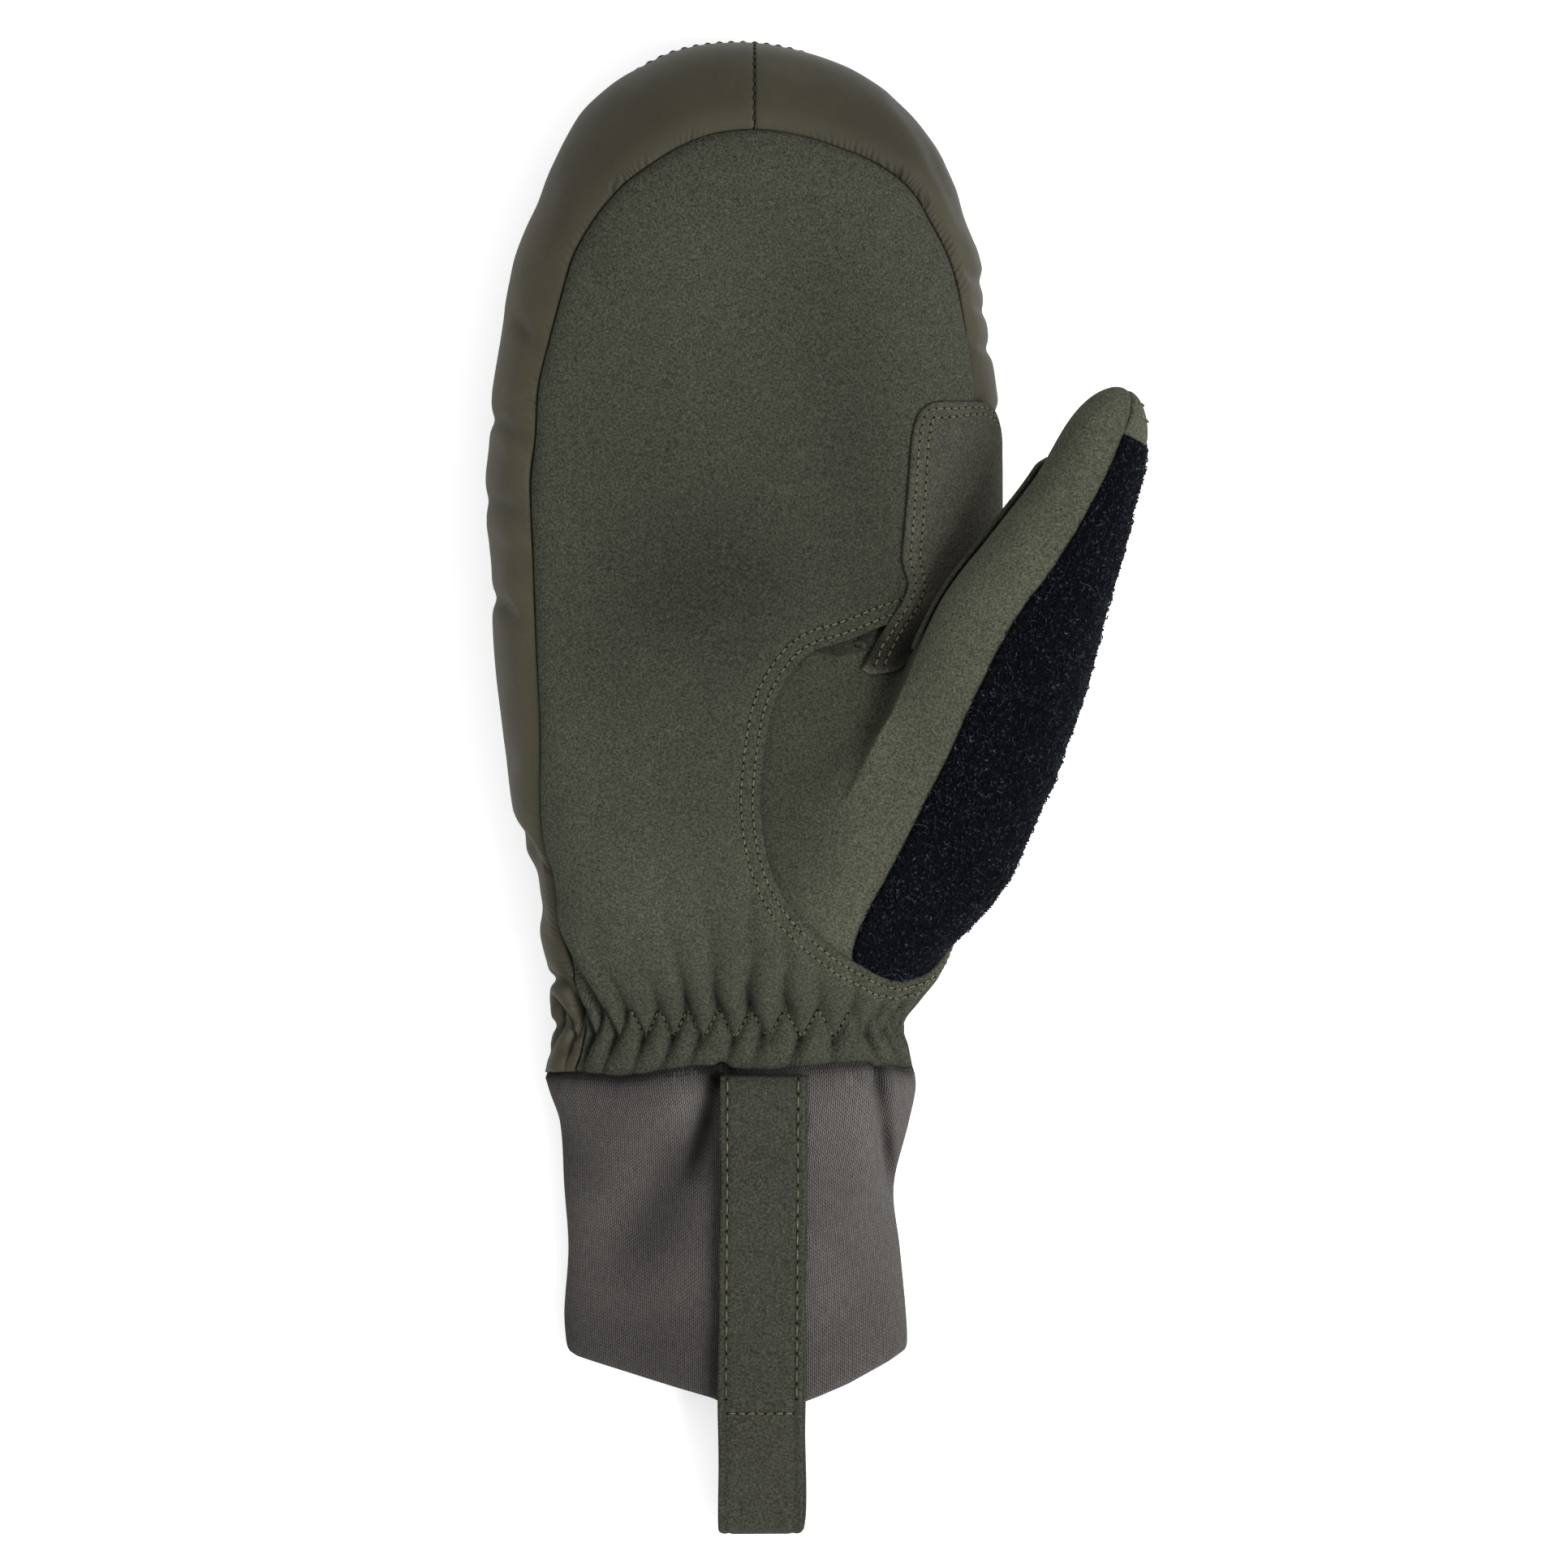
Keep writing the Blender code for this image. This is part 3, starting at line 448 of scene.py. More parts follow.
# unevenness of each cloth: height, size of its features and the noise's number
swells = {
    "palm": ((0.00035, 0.028, 3), (0.00012, 0.009, 5)),
    "shell": ((0.00045, 0.016, 11), (0.00022, 0.006, 13)),
    "back": ((0.0005, 0.02, 17),),
    "patch": ((0.0001, 0.006, 37),),
    "thumb": ((0.00025, 0.011, 23),),
    "terry": ((0.00025, 0.0012, 29), (0.0002, 0.0030, 31)),
    "cuff": ((0.0004, 0.018, 41), (0.0002, 0.007, 43)),
    "strap": ((0.0001, 0.008, 47),),
}

# how deep each seam lies and how far its dip reaches
dips = {
    "shellPalm": (0.0014, 0.0024),
    "shellBack": (0.0009, 0.0014),
    "shellMiddle": (0.0004, 0.0009),
    "thumbTerry": (0.0007, 0.0010),
    "thumbBack": (0.0008, 0.0010),
    "terry": (0.0003, 0.0010),
    "cap": (0.0006, 0.0009),
    "capStart": (0.0007, 0.0007),
}

# painted shade beside seams and edges: darkening (painted highlight if below 0) and reach
tones = {
    "palmSeam": (0.35, 0.0012),
    "palmHole": (0.2, 0.0008),
    "shellPalm": (0.35, 0.0006),
    "shellBack": (0.5, 0.0008),
    "shellMiddle": (0.30, 0.00016),
    "thumbTerry": (0.5, 0.0008),
    "thumbHole": (0.40, 0.0010),
    # cuffTop and strapTop are painted shadow below the palm's edge; cuffHem is a painted highlight on the
    # rolled hem
    "cuffTop": (0.80, 0.0014),
    "cuffHem": (-0.2, 0.0006),
    "strapTop": (0.6, 0.0015),
}


def swellOf(cloth, point):
    return sum(amount * hashNoise(point, size, seed) for amount, size, seed in swells[cloth])


def toneBy(edge, distance):
    amount, reach = tones[edge]
    return amount * fadeOut(distance, reach)


def hemDip(facing, fromHem):
    # the rounded lower edge of the palm and the shell, seen from above
    return seams["hemDip"] * facing * fadeOut(np.clip(fromHem, 0, None), seams["hemReach"])


# Gathers at the wrist: the elastic's zigzag peaks, and the puffs on both sides of it
gather = {
    "peaks": (-50.0, -45.6, -41.6, -37.4, -33.0, -27.4, -21.1, -14.9, -8.0, -0.8, 6.6, 14.1,
              21.2, 26.4, 29.6, 32.4, 35.0, 37.6, 40.0, 43.0),
    "rowY": -0.1118,
    "rise": 0.0031,
    "up": 0.0130,
    "slant": 0.30,
    "upper": 0.0037,
    "lower": 0.0036,
    "dent": 0.0009,
}

# how steeply the creases lean outward above the row, at places across it in millimetres
fanRows = (
    ("x", "lean"),
    ((-50, -0.75), (-38, -0.70), (-27, -0.55), (-21, -0.32), (-10, -0.12), (0, 0.0), (18, 0.05),
     (25, 0.30), (31, 0.75), (42, 0.90)))

# how far the lower edges of the palm and the cuff's top rise or drop, in millimetres
hemRows = inMillimetres((
    (-46.8, 0.0), (-38.0, -0.4), (-30.7, -1.1), (-25.0, -0.6), (-20.0, 0.3), (-12.8, 1.2), (-9.2, 1.2),
    (-7.4, 2.1), (-5.6, 0.7), (-1.0, 0.1), (3.3, 0.1), (9.9, 0.9), (18.9, 1.8), (25.4, 2.1), (27.2, 1.0),
    (30.5, 1.3), (34.4, 1.0)))


def gatherPhase(x):
    return np.interp(x, inMillimetres(gather["peaks"]), np.arange(len(gather["peaks"])))


def fanFoot(x, above):
    # the place on the row where the crease through a point starts
    low = np.full(np.shape(x), -0.09)
    high = np.full(np.shape(x), 0.09)
    for _ in range(16):
        middle = (low + high) / 2
        beyond = middle + readTable(fanRows, "lean", middle * 1000) * above > x
        high = np.where(beyond, middle, high)
        low = np.where(beyond, low, middle)
    return (low + high) / 2


def hemLift(point, reach):
    down = np.abs(point[..., 1] - seamY)
    return np.interp(point[..., 0], hemRows[:, 0], hemRows[:, 1]) * (1 - smooth(down / reach))


def zigzagY(x):
    swing = gatherPhase(x) % 1.0
    return gather["rowY"] + gather["rise"] * (np.abs(2 * swing - 1) * 2 - 1)


def gatherParts(point):
    # rounded puffs with sharp creases between them, which change places across the zigzag
    x, y = point[..., 0], point[..., 1]
    above = np.clip(y - gather["rowY"], 0, None)
    below = np.clip(gather["rowY"] - y, 0, None)
    wobble = 0.0010 * hashNoise(stack(x, y, 0 * x), 0.007, 19)
    foot = fanFoot(x + wobble * smooth(above / 0.004), above)
    upPhase = gatherPhase(foot)
    upPuff = np.abs(np.sin(np.pi * upPhase)) ** (0.55 + 0.45 * smooth(above / 0.014)) - 0.70
    lean = gather["slant"] * smooth((0.016 - x) / 0.006) - 0.45 * smooth((x - 0.018) / 0.006)
    lowPhase = gatherPhase(x + wobble * smooth(below / 0.003) + lean * below)
    lowPuff = np.abs(np.cos(np.pi * lowPhase)) ** 0.5 - 0.70
    upWander = 1 + 0.8 * rowNoise(foot, 0.0065, 3)
    lowWander = 1 + 0.7 * rowNoise(x, 0.007, 9)
    near = 0.65 * np.exp(-(above / 0.0065) ** 1.3) + 0.35 * np.exp(-(above / gather["up"] / upWander) ** 1.3)
    fade = near * upWander
    side = smooth((y - zigzagY(x)) / 0.0012 * 0.5 + 0.5)
    lowFade = 1 - 0.65 * smooth((below - 0.003) / 0.007)
    lowPuff = lowPuff * lowWander * lowFade
    puff = side * gather["upper"] * upPuff * fade + (1 - side) * gather["lower"] * lowPuff
    crease = side * (1 - np.abs(np.sin(np.pi * upPhase))) ** 3.5 * np.clip(fade, 0, 1)
    crease = crease + (1 - side) * (1 - np.abs(np.cos(np.pi * lowPhase))) ** 3.5 * lowFade
    return puff, crease


def gatherRelief(point, normal):
    x, y = point[..., 0], point[..., 1]
    puff, _ = gatherParts(point)
    row = bell(y - zigzagY(x), 0.0011)
    facing = smooth(normal[..., 2] / 0.45)
    inZone = smooth((gather["rowY"] + 0.05 - y) / 0.01)
    return facing * inZone * (puff - gather["dent"] * row)


pieces = {}
carriers = {}


def outwardSign(surface, core):
    u, w = np.meshgrid(np.linspace(0.1, 0.9, 9), np.linspace(0.1, 0.9, 9))
    step = 0.01
    over = surface(u + step, w) - surface(u - step, w)
    up = surface(u, w + step) - surface(u, w - step)
    facing = (np.cross(over, up) * (surface(u, w) - np.array(core))).sum(-1)
    return 1.0 if facing.sum() > 0 else -1.0


def layOn(surface, relief, sign, u, w):
    # the finished place and normal at grid places on a surface
    step = 0.0015
    un = np.clip(u, 0.003, 0.997)
    wn = np.clip(w, 0.003, 0.997)
    point = surface(u, w)
    over = surface(un + step, wn) - surface(un - step, wn)
    up = surface(un, wn + step) - surface(un, wn - step)
    normal = unit(np.cross(over, up)) * sign
    if relief is not None:
        point = point + normal * relief(u, w, point, normal)[..., None]
    return point, normal


def realLengths(surface, columns, rows):
    # mean lengths along both ways of the grid, so that a cloth pattern keeps its scale
    u = np.linspace(0, 1, columns + 1)
    w = np.linspace(0, 1, rows + 1)
    grid = surface(*np.meshgrid(u, w))
    across = np.linalg.norm(np.diff(grid, axis=1), axis=-1).mean(0)
    ahead = np.linalg.norm(np.diff(grid, axis=0), axis=-1).mean(1)
    return u, np.concatenate([[0], across.cumsum()]), w, np.concatenate([[0], ahead.cumsum()])


def makePiece(name, surface, core, grid, kind, nodes, relief=None, wall=0.0, shade=None, hole=None):
    # a fine grid laid on a surface, with its relief along the normals and an inner wall
    sign = outwardSign(surface, core)
    columns, rows = grid
    bm = bmesh.new()
    bmesh.ops.create_grid(bm, x_segments=columns, y_segments=rows, size=0.5)
    if hole is not None:
        cutHole(bm, columns, rows, hole)
    bm.verts.ensure_lookup_table()
    flat = np.array([v.co[:2] for v in bm.verts]) + 0.5
    u, w = flat[:, 0], flat[:, 1]
    point, normal = layOn(surface, relief, sign, u, w)
    for vertex in bm.verts:
        vertex.co = point[vertex.index]
    if sign < 0:
        bmesh.ops.reverse_faces(bm, faces=bm.faces)
    mesh = bpy.data.meshes.new(name)
    bm.to_mesh(mesh)
    bm.free()
    uAt, across, wAt, ahead = realLengths(surface, columns, rows)
    corners = np.zeros(len(mesh.loops), dtype=np.int32)
    mesh.loops.foreach_get("vertex_index", corners)
    places = np.stack([np.interp(u[corners], uAt, across), np.interp(w[corners], wAt, ahead)], axis=-1)
    cloth = mesh.uv_layers.new(name="cloth")
    cloth.uv.foreach_set("vector", places.astype(np.float32).ravel())
    # the shade attribute holds painted shade, and painted light where it is below 0
    if shade is not None:
        values = np.clip(shade(u, w, point), -1, 0.9).astype(np.float32)
        mesh.attributes.new("shade", "FLOAT", "POINT").data.foreach_set("value", values)
    mesh.shade_smooth()
    made = addPiece(name, mesh, looks[kind], nodes)
    if wall:
        solid = made.modifiers.new("wall", "SOLIDIFY")
        solid.thickness = wall
        solid.offset = -1.0
    return made


def addPiece(name, mesh, look, nodes=()):
    made = bpy.data.objects.new(name, mesh)
    bpy.context.scene.collection.objects.link(made)
    mesh.materials.append(look)
    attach(made, "root")
    if nodes:
        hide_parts(*nodes)
    pieces[name] = made
    return made


def cutHole(bm, columns, rows, hole):
    # moves the nearest grid points onto the hole's outline and removes the faces inside it
    bm.verts.ensure_lookup_table()
    scale = np.array([columns, rows])
    spots = (np.array([v.co[:2] for v in bm.verts]) + 0.5) * scale
    line = hole * scale
    low = line.min(0) - 2
    high = line.max(0) + 2
    near = np.where(((spots > low) & (spots < high)).all(1))[0]
    inside = np.zeros(len(spots), bool)
    here = spots[near]
    odd = np.zeros(len(near), bool)
    best = np.full(len(near), 1e9)
    landing = here.copy()
    for a, b in zip(line, np.roll(line, -1, axis=0)):
        run = b - a
        if run @ run < 1e-12:
            continue
        share = np.clip(((here - a) @ run) / (run @ run), 0, 1)
        spot = a + share[:, None] * run
        away = np.linalg.norm(here - spot, axis=1)
        closer = away < best
        best = np.where(closer, away, best)
        landing = np.where(closer[:, None], spot, landing)
        crossing = (a[1] > here[:, 1]) != (b[1] > here[:, 1])
        reach = (b[0] - a[0]) * (here[:, 1] - a[1]) / np.where(run[1] == 0, 1, run[1]) + a[0]
        odd ^= crossing & (here[:, 0] < reach)
    inside[near] = odd
    onLine = np.zeros(len(spots), bool)
    onLine[near[best < 0.52]] = True
    for k, index in enumerate(near):
        if onLine[index]:
            bm.verts[index].co = (*(landing[k] / scale - 0.5), 0)
    mixed = []
    for face in bm.faces:
        kinds = [0 if onLine[v.index] else (1 if inside[v.index] else -1) for v in face.verts]
        if 1 in kinds and -1 in kinds:
            mixed.append([v for v, kind in zip(face.verts, kinds) if kind == 0])
    for pair in mixed:
        if len(pair) == 2:
            bmesh.ops.connect_verts(bm, verts=pair)
    gone = []
    for face in bm.faces:
        if not any(not onLine[v.index] and not inside[v.index] for v in face.verts):
            gone.append(face)
    bmesh.ops.delete(bm, geom=gone, context="FACES")
    bmesh.ops.delete(bm, geom=[v for v in bm.verts if not v.link_faces], context="VERTS")
    bm.verts.index_update()


def carrierOf(name):
    # a search tree of a piece's outer face, to set stitches on it
    if name not in carriers:
        mesh = pieces[name].data
        spots = np.zeros(len(mesh.vertices) * 3)
        mesh.vertices.foreach_get("co", spots)
        faces = [list(p.vertices) for p in mesh.polygons]
        carriers[name] = BVHTree.FromPolygons(spots.reshape(-1, 3).tolist(), faces)
    return carriers[name]


def settle(name, line, fromAbove=False):
    # moves a line of points onto a piece and gives the normals there
    tree = carrierOf(name)
    places = []
    normals = []
    for spot in line:
        if fromAbove:
            hit = tree.ray_cast(Vector((spot[0], spot[1], 0.2)), Vector((0, 0, -1)))
        else:
            hit = tree.find_nearest(Vector(spot))
        if hit[0] is not None:
            places.append(hit[0])
            normals.append(hit[1])
    return np.array(places), np.array(normals)


def repeatShape(bm, origins, axes):
    # one mesh of many turned and scaled copies of a small shape
    base = np.array([v.co for v in bm.verts])
    faces = [[v.index for v in f.verts] for f in bm.faces]
    points = origins[:, None, :] + np.einsum("vi,nij->nvj", base, axes)
    everyFace = []
    for copy in range(len(origins)):
        first = copy * len(base)
        everyFace.extend([[first + k for k in face] for face in faces])
    mesh = bpy.data.meshes.new("repeat")
    mesh.from_pydata(points.reshape(-1, 3).tolist(), [], everyFace)
    mesh.shade_smooth()
    return mesh


def bead():
    bm = bmesh.new()
    bmesh.ops.create_uvsphere(bm, u_segments=6, v_segments=5, radius=1.0)
    bm.verts.index_update()
    return bm


thread = {"radius": 0.00024, "hole": 0.00030, "sink": 0.00002}


def stitchRow(places, normals, share=0.80, radius=None, lift=0.00008, level=0.9):
    # axes of one bead for each stitch between neighbouring places, and of the holes there
    radius = radius or thread["radius"]
    a, b = places[:-1], places[1:]
    middle = (a + b) / 2
    along = b - a
    up = unit(normals[:-1] + normals[1:])
    side = unit(np.cross(up, along))
    axes = np.stack([side * radius, up * radius * level, along / 2 * share], axis=1)
    return middle + up * lift, axes


def holeRow(places, normals, radius=None):
    # flat near-black discs sunk at each stitch end: painted shade of the needle holes
    radius = radius or thread["hole"]
    side = unit(np.cross(normals, np.array([0.3, 0.5, 0.8])))
    other = np.cross(normals, side)
    axes = np.stack([side * radius, other * radius, normals * radius * 0.35], axis=1)
    return places + normals * thread["sink"], axes


# Shader helpers

def addNode(tree, kind, inputs=None, **settings):
    made = tree.nodes.new(kind)
    for key, value in settings.items():
        setattr(made, key, value)
    for key, value in (inputs or {}).items():
        if isinstance(value, bpy.types.NodeSocket):
            tree.links.new(value, made.inputs[key])
        else:
            made.inputs[key].default_value = value
    return made


def mathNode(tree, operation, a, b=0.0, c=0.0):
    return addNode(tree, "ShaderNodeMath", {0: a, 1: b, 2: c}, operation=operation).outputs[0]


def times(tree, a, b):
    return mathNode(tree, "MULTIPLY", a, b)


def timesPlus(tree, a, b, c):
    return mathNode(tree, "MULTIPLY_ADD", a, b, c)


def around(tree, value, amount, middle=0.5):
    # a factor that varies round 1
    return timesPlus(tree, mathNode(tree, "SUBTRACT", value, middle), amount, 1.0)


def scaleColour(tree, colour, factor):
    return addNode(tree, "ShaderNodeVectorMath", {0: colour, "Scale": factor},
                   operation="SCALE").outputs[0]


def newGroup(name, extra):
    # every cloth group has a place and a colour, gives a colour and a height, and has its own amounts
    tree = bpy.data.node_groups.new(name, "ShaderNodeTree")
    sockets = [("Vector", "Vector", "INPUT", None), ("Colour", "Color", "INPUT", (0.1, 0.1, 0.1, 1))]
    sockets += [(label, "Float", "INPUT", value) for label, value in extra.items()]
    sockets += [("Colour", "Color", "OUTPUT", None), ("Height", "Float", "OUTPUT", None)]
    for label, kind, way, value in sockets:
        socket = tree.interface.new_socket(label, in_out=way, socket_type="NodeSocket" + kind)
        if value is not None:
            socket.default_value = value
    return tree, tree.nodes.new("NodeGroupInput").outputs


def finishGroup(tree, get, shade, height):
    put = tree.nodes.new("NodeGroupOutput").inputs
    tree.links.new(scaleColour(tree, get["Colour"], shade), put["Colour"])
    tree.links.new(height, put["Height"])
    return tree


def noiseNode(tree, vector, scale, detail=2.0, roughness=0.5):
    return addNode(tree, "ShaderNodeTexNoise", {"Vector": vector, "Scale": scale, "Detail": detail,
                                                "Roughness": roughness}).outputs["Fac"]


def makeNapGroup():
    # suede nap: fine pepper grain, soft mottling and wide clouds
    tree, get = newGroup("suedeNap", {"Grain": 0.4, "Mottle": 0.3, "Cloud": 0.2})
    grain = noiseNode(tree, get["Vector"], 2600.0, 2.0, 0.7)
    fleck = noiseNode(tree, get["Vector"], 1900.0, 1.0, 0.5)
    mottle = noiseNode(tree, get["Vector"], 420.0, 2.0, 0.6)
    cloud = noiseNode(tree, get["Vector"], 30.0, 2.0, 0.5)
    total = times(tree, around(tree, grain, get["Grain"]),
                     around(tree, fleck, get["Grain"]))
    total = times(tree, total, around(tree, mottle, get["Mottle"]))
    total = times(tree, total, around(tree, cloud, get["Cloud"]))
    return finishGroup(tree, get, total, timesPlus(tree, mottle, 0.6, grain))


def makeNylonGroup():
    # thin nylon: very fine crossed threads and small soft wrinkles
    tree, get = newGroup("nylonCloth", {"Wrinkle": 0.3})
    parts = addNode(tree, "ShaderNodeSeparateXYZ", {0: get["Vector"]}).outputs
    threads = [mathNode(tree, "SINE", times(tree, parts[axis], 2 * math.pi / 0.00036))
               for axis in (0, 1)]
    weave = times(tree, threads[0], threads[1])
    wrinkle = noiseNode(tree, get["Vector"], 120.0, 3.0, 0.55)
    fine = noiseNode(tree, get["Vector"], 900.0, 2.0, 0.5)
    shade = timesPlus(tree, weave, 0.03, around(tree, wrinkle, 0.22))
    shade = times(tree, shade, around(tree, fine, 0.18))
    height = timesPlus(tree, weave, 0.06, times(tree, wrinkle, get["Wrinkle"]))
    return finishGroup(tree, get, shade, height)


def makeKnitGroup():
    # jersey: upright ribs of small V stitches, on the cloth's own map in metres, with painted shade between
    # the ribs
    tree, get = newGroup("jerseyKnit", {"Rib": 0.00090, "Stitch": 0.00080, "Contrast": 2.1})
    parts = addNode(tree, "ShaderNodeSeparateXYZ", {0: get["Vector"]}).outputs
    wander = noiseNode(tree, get["Vector"], 180.0, 2.0, 0.5)
    across = mathNode(tree, "DIVIDE", parts[0], get["Rib"])
    across = timesPlus(tree, mathNode(tree, "SUBTRACT", wander, 0.5), 0.5, across)
    side = mathNode(tree, "PINGPONG", across, 0.5)
    rib = mathNode(tree, "SINE", times(tree, side, 2 * math.pi))
    down = mathNode(tree, "DIVIDE", parts[1], get["Stitch"])
    slant = timesPlus(tree, side, 1.3, down)
    yarn = mathNode(tree, "SINE", times(tree, slant, 2 * math.pi))
    yarn = timesPlus(tree, yarn, 0.25, 0.75)
    height = times(tree, timesPlus(tree, rib, 0.6, 0.4), yarn)
    fuzz = noiseNode(tree, get["Vector"], 1500.0, 2.0, 0.6)
    patchy = noiseNode(tree, get["Vector"], 60.0, 2.0, 0.5)
    drawn = addNode(tree, "ShaderNodeVectorMath", {0: get["Vector"], 1: (1.0, 0.30, 1.0)},
                    operation="MULTIPLY").outputs[0]
    streak = noiseNode(tree, drawn, 1300.0, 1.0, 0.5)
    # the colour is darker where the rib height is low: painted shade between the ribs
    shade = times(tree, around(tree, height, get["Contrast"], 0.45), around(tree, fuzz, 0.7))
    shade = times(tree, shade, around(tree, streak, 0.6))
    shade = times(tree, shade, around(tree, patchy, 0.4))
    return finishGroup(tree, get, shade, timesPlus(tree, fuzz, 0.15, height))


def makeTerryGroup():
    # small curled loops: painted shade between them and painted bluish highlights on their crests
    tree, get = newGroup("terryPile", {"Contrast": 1.0, "Cell": 1150.0, "Uneven": 1.0})
    wander = addNode(tree, "ShaderNodeTexNoise", {"Vector": get["Vector"], "Scale": 700.0,
                                                  "Detail": 1.0}).outputs["Color"]
    shift = addNode(tree, "ShaderNodeVectorMath", {0: wander, "Scale": 0.0006}, operation="SCALE").outputs[0]
    spot = addNode(tree, "ShaderNodeVectorMath", {0: get["Vector"], 1: shift}, operation="ADD").outputs[0]
    curl = addNode(tree, "ShaderNodeTexVoronoi", {"Vector": spot, "Scale": get["Cell"]}, feature="F1")
    crest = mathNode(tree, "SUBTRACT", 1.0, curl.outputs["Distance"])
    chance = addNode(tree, "ShaderNodeSeparateColor", {0: curl.outputs["Color"]}).outputs[0]
    chance = timesPlus(tree, mathNode(tree, "POWER", chance, 3.0), get["Uneven"], 0.25)
    # painted highlight on each loop's crest, over a base kept dark as painted shade
    paintedHighlight = times(tree, mathNode(tree, "POWER", crest, 3.0), chance)
    cloud = noiseNode(tree, get["Vector"], 90.0, 2.0, 0.5)
    shade = times(tree, timesPlus(tree, paintedHighlight, get["Contrast"], 0.25),
                     around(tree, cloud, 0.8))
    return finishGroup(tree, get, shade, crest)


napGroup = makeNapGroup()
terryGroup = makeTerryGroup()
nylonGroup = makeNylonGroup()
knitGroup = makeKnitGroup()


def makeLook(name, group, values, roughness, bump, sheen=0.0, sheenColour=(0.5, 0.5, 0.4),
             onCloth=False, shaded=False, specular=0.3):
    look = bpy.data.materials.new(name)
    look.use_nodes = True
    tree = look.node_tree
    shader = tree.nodes["Principled BSDF"]
    if onCloth:
        place = addNode(tree, "ShaderNodeUVMap", uv_map="cloth").outputs[0]
    else:
        place = addNode(tree, "ShaderNodeTexCoord").outputs["Object"]
    surface = addNode(tree, "ShaderNodeGroup", node_tree=group)
    tree.links.new(place, surface.inputs["Vector"])
    for key, value in values.items():
        surface.inputs[key].default_value = (*value, 1) if key == "Colour" else value
    colour = surface.outputs["Colour"]
    # painted shade: the colour times 1 - shade, so values below 0 paint light
    if shaded:
        mark = addNode(tree, "ShaderNodeAttribute", attribute_name="shade").outputs["Fac"]
        colour = scaleColour(tree, colour, timesPlus(tree, mark, -1.0, 1.0))
    tree.links.new(colour, shader.inputs["Base Color"])
    lift = addNode(tree, "ShaderNodeBump", {"Height": surface.outputs["Height"], "Strength": bump[0],
                                            "Distance": bump[1]})
    tree.links.new(lift.outputs[0], shader.inputs["Normal"])
    shader.inputs["Roughness"].default_value = roughness
    shader.inputs["Sheen Weight"].default_value = sheen
    shader.inputs["Sheen Tint"].default_value = (*sheenColour, 1)
    shader.inputs["Specular IOR Level"].default_value = specular
    return look


def napLook(name, colour, amounts, roughness, bump, **more):
    values = dict(zip(("Grain", "Mottle", "Cloud"), amounts), Colour=colour)
    return makeLook(name, napGroup, values, roughness, bump, **more)


def suede(name, colour, grain=1.9):
    return napLook(name, colour, (grain, 0.3, 0.35), 0.92, (0.6, 0.0004), sheen=0.06, shaded=True,
                   specular=0.10)


looks = {
    "shell": makeLook("shellNylon", nylonGroup, {"Colour": (0.0380, 0.0340, 0.0195), "Wrinkle": 0.5},
                      0.50, (0.5, 0.0007), shaded=True, specular=0.24),
    "palm": suede("palmSuede", (0.0460, 0.0475, 0.0345)),
    "patch": suede("patchSuede", (0.0530, 0.0510, 0.0400), 1.7),
    "thumb": suede("thumbSuede", (0.0660, 0.0680, 0.0480)),
    "strap": suede("strapSuede", (0.0385, 0.0390, 0.0300)),
    "terry": makeLook("terryCloth", terryGroup,
                      {"Colour": (0.0042, 0.0050, 0.0078), "Contrast": 2.0, "Uneven": 2.5},
                      0.85, (1.0, 0.0007), specular=0.05),
    "loops": makeLook("terryLoops", terryGroup,
                      {"Colour": (0.0250, 0.0305, 0.0480), "Contrast": 2.5, "Uneven": 1.6},
                      0.80, (0.3, 0.0002), sheen=0.10, sheenColour=(0.30, 0.36, 0.50), specular=0.06),
    "knit": makeLook("cuffJersey", knitGroup, {"Colour": (0.0860, 0.0780, 0.0740)},
                     0.85, (1.0, 0.0005), sheen=0.05, onCloth=True, shaded=True, specular=0.12),
    "thread": napLook("oliveThread", (0.085, 0.086, 0.040), (0.8, 1.6, 0.2), 0.6, (0.3, 0.0001),
                      specular=0.35),
    # the needle holes' near-black colour is painted shade
    "hole": napLook("needleHoleShade", (0.006, 0.006, 0.005), (0.4, 0.3, 0.1), 0.95, (0.1, 0.0001),
                    specular=0.05),
    "darkThread": napLook("darkThread", (0.012, 0.012, 0.008), (0.8, 0.8, 0.2), 0.7, (0.3, 0.0001),
                          specular=0.25),
    "lint": napLook("greyLint", (0.085, 0.092, 0.110), (0.5, 0.5, 0.2), 0.8, (0.1, 0.0001),
                    specular=0.1),
    "pale": napLook("paleFibre", (0.26, 0.26, 0.26), (0.5, 0.5, 0.2), 0.7, (0.1, 0.0001),
                    specular=0.25),
}
print("materials made:", len(looks))


# Stitched rows round the thumb's opening and on the patch

rowsRound = {"inner": 0.0017, "outer": 0.0043, "pitch": 0.00185, "groove": 0.00028, "width": 0.0006}

# the hole's edge differs from the rim at the crotch alone
holeRows = (openingRows[0], openingRows[1][:10] + (
    (210, 0.537, 0.876), (222, 0.556, 0.820), (235, 0.564, 0.770), (255, 0.535, 0.700),
    (280, 0.470, 0.610)) + openingRows[1][-3:])
holeAlong = readTable(holeRows, "along", turns[:-1])
holeWay = readTable(holeRows, "round", turns[:-1])
holeEdge = bodyPoint(1, holeAlong, holeWay)


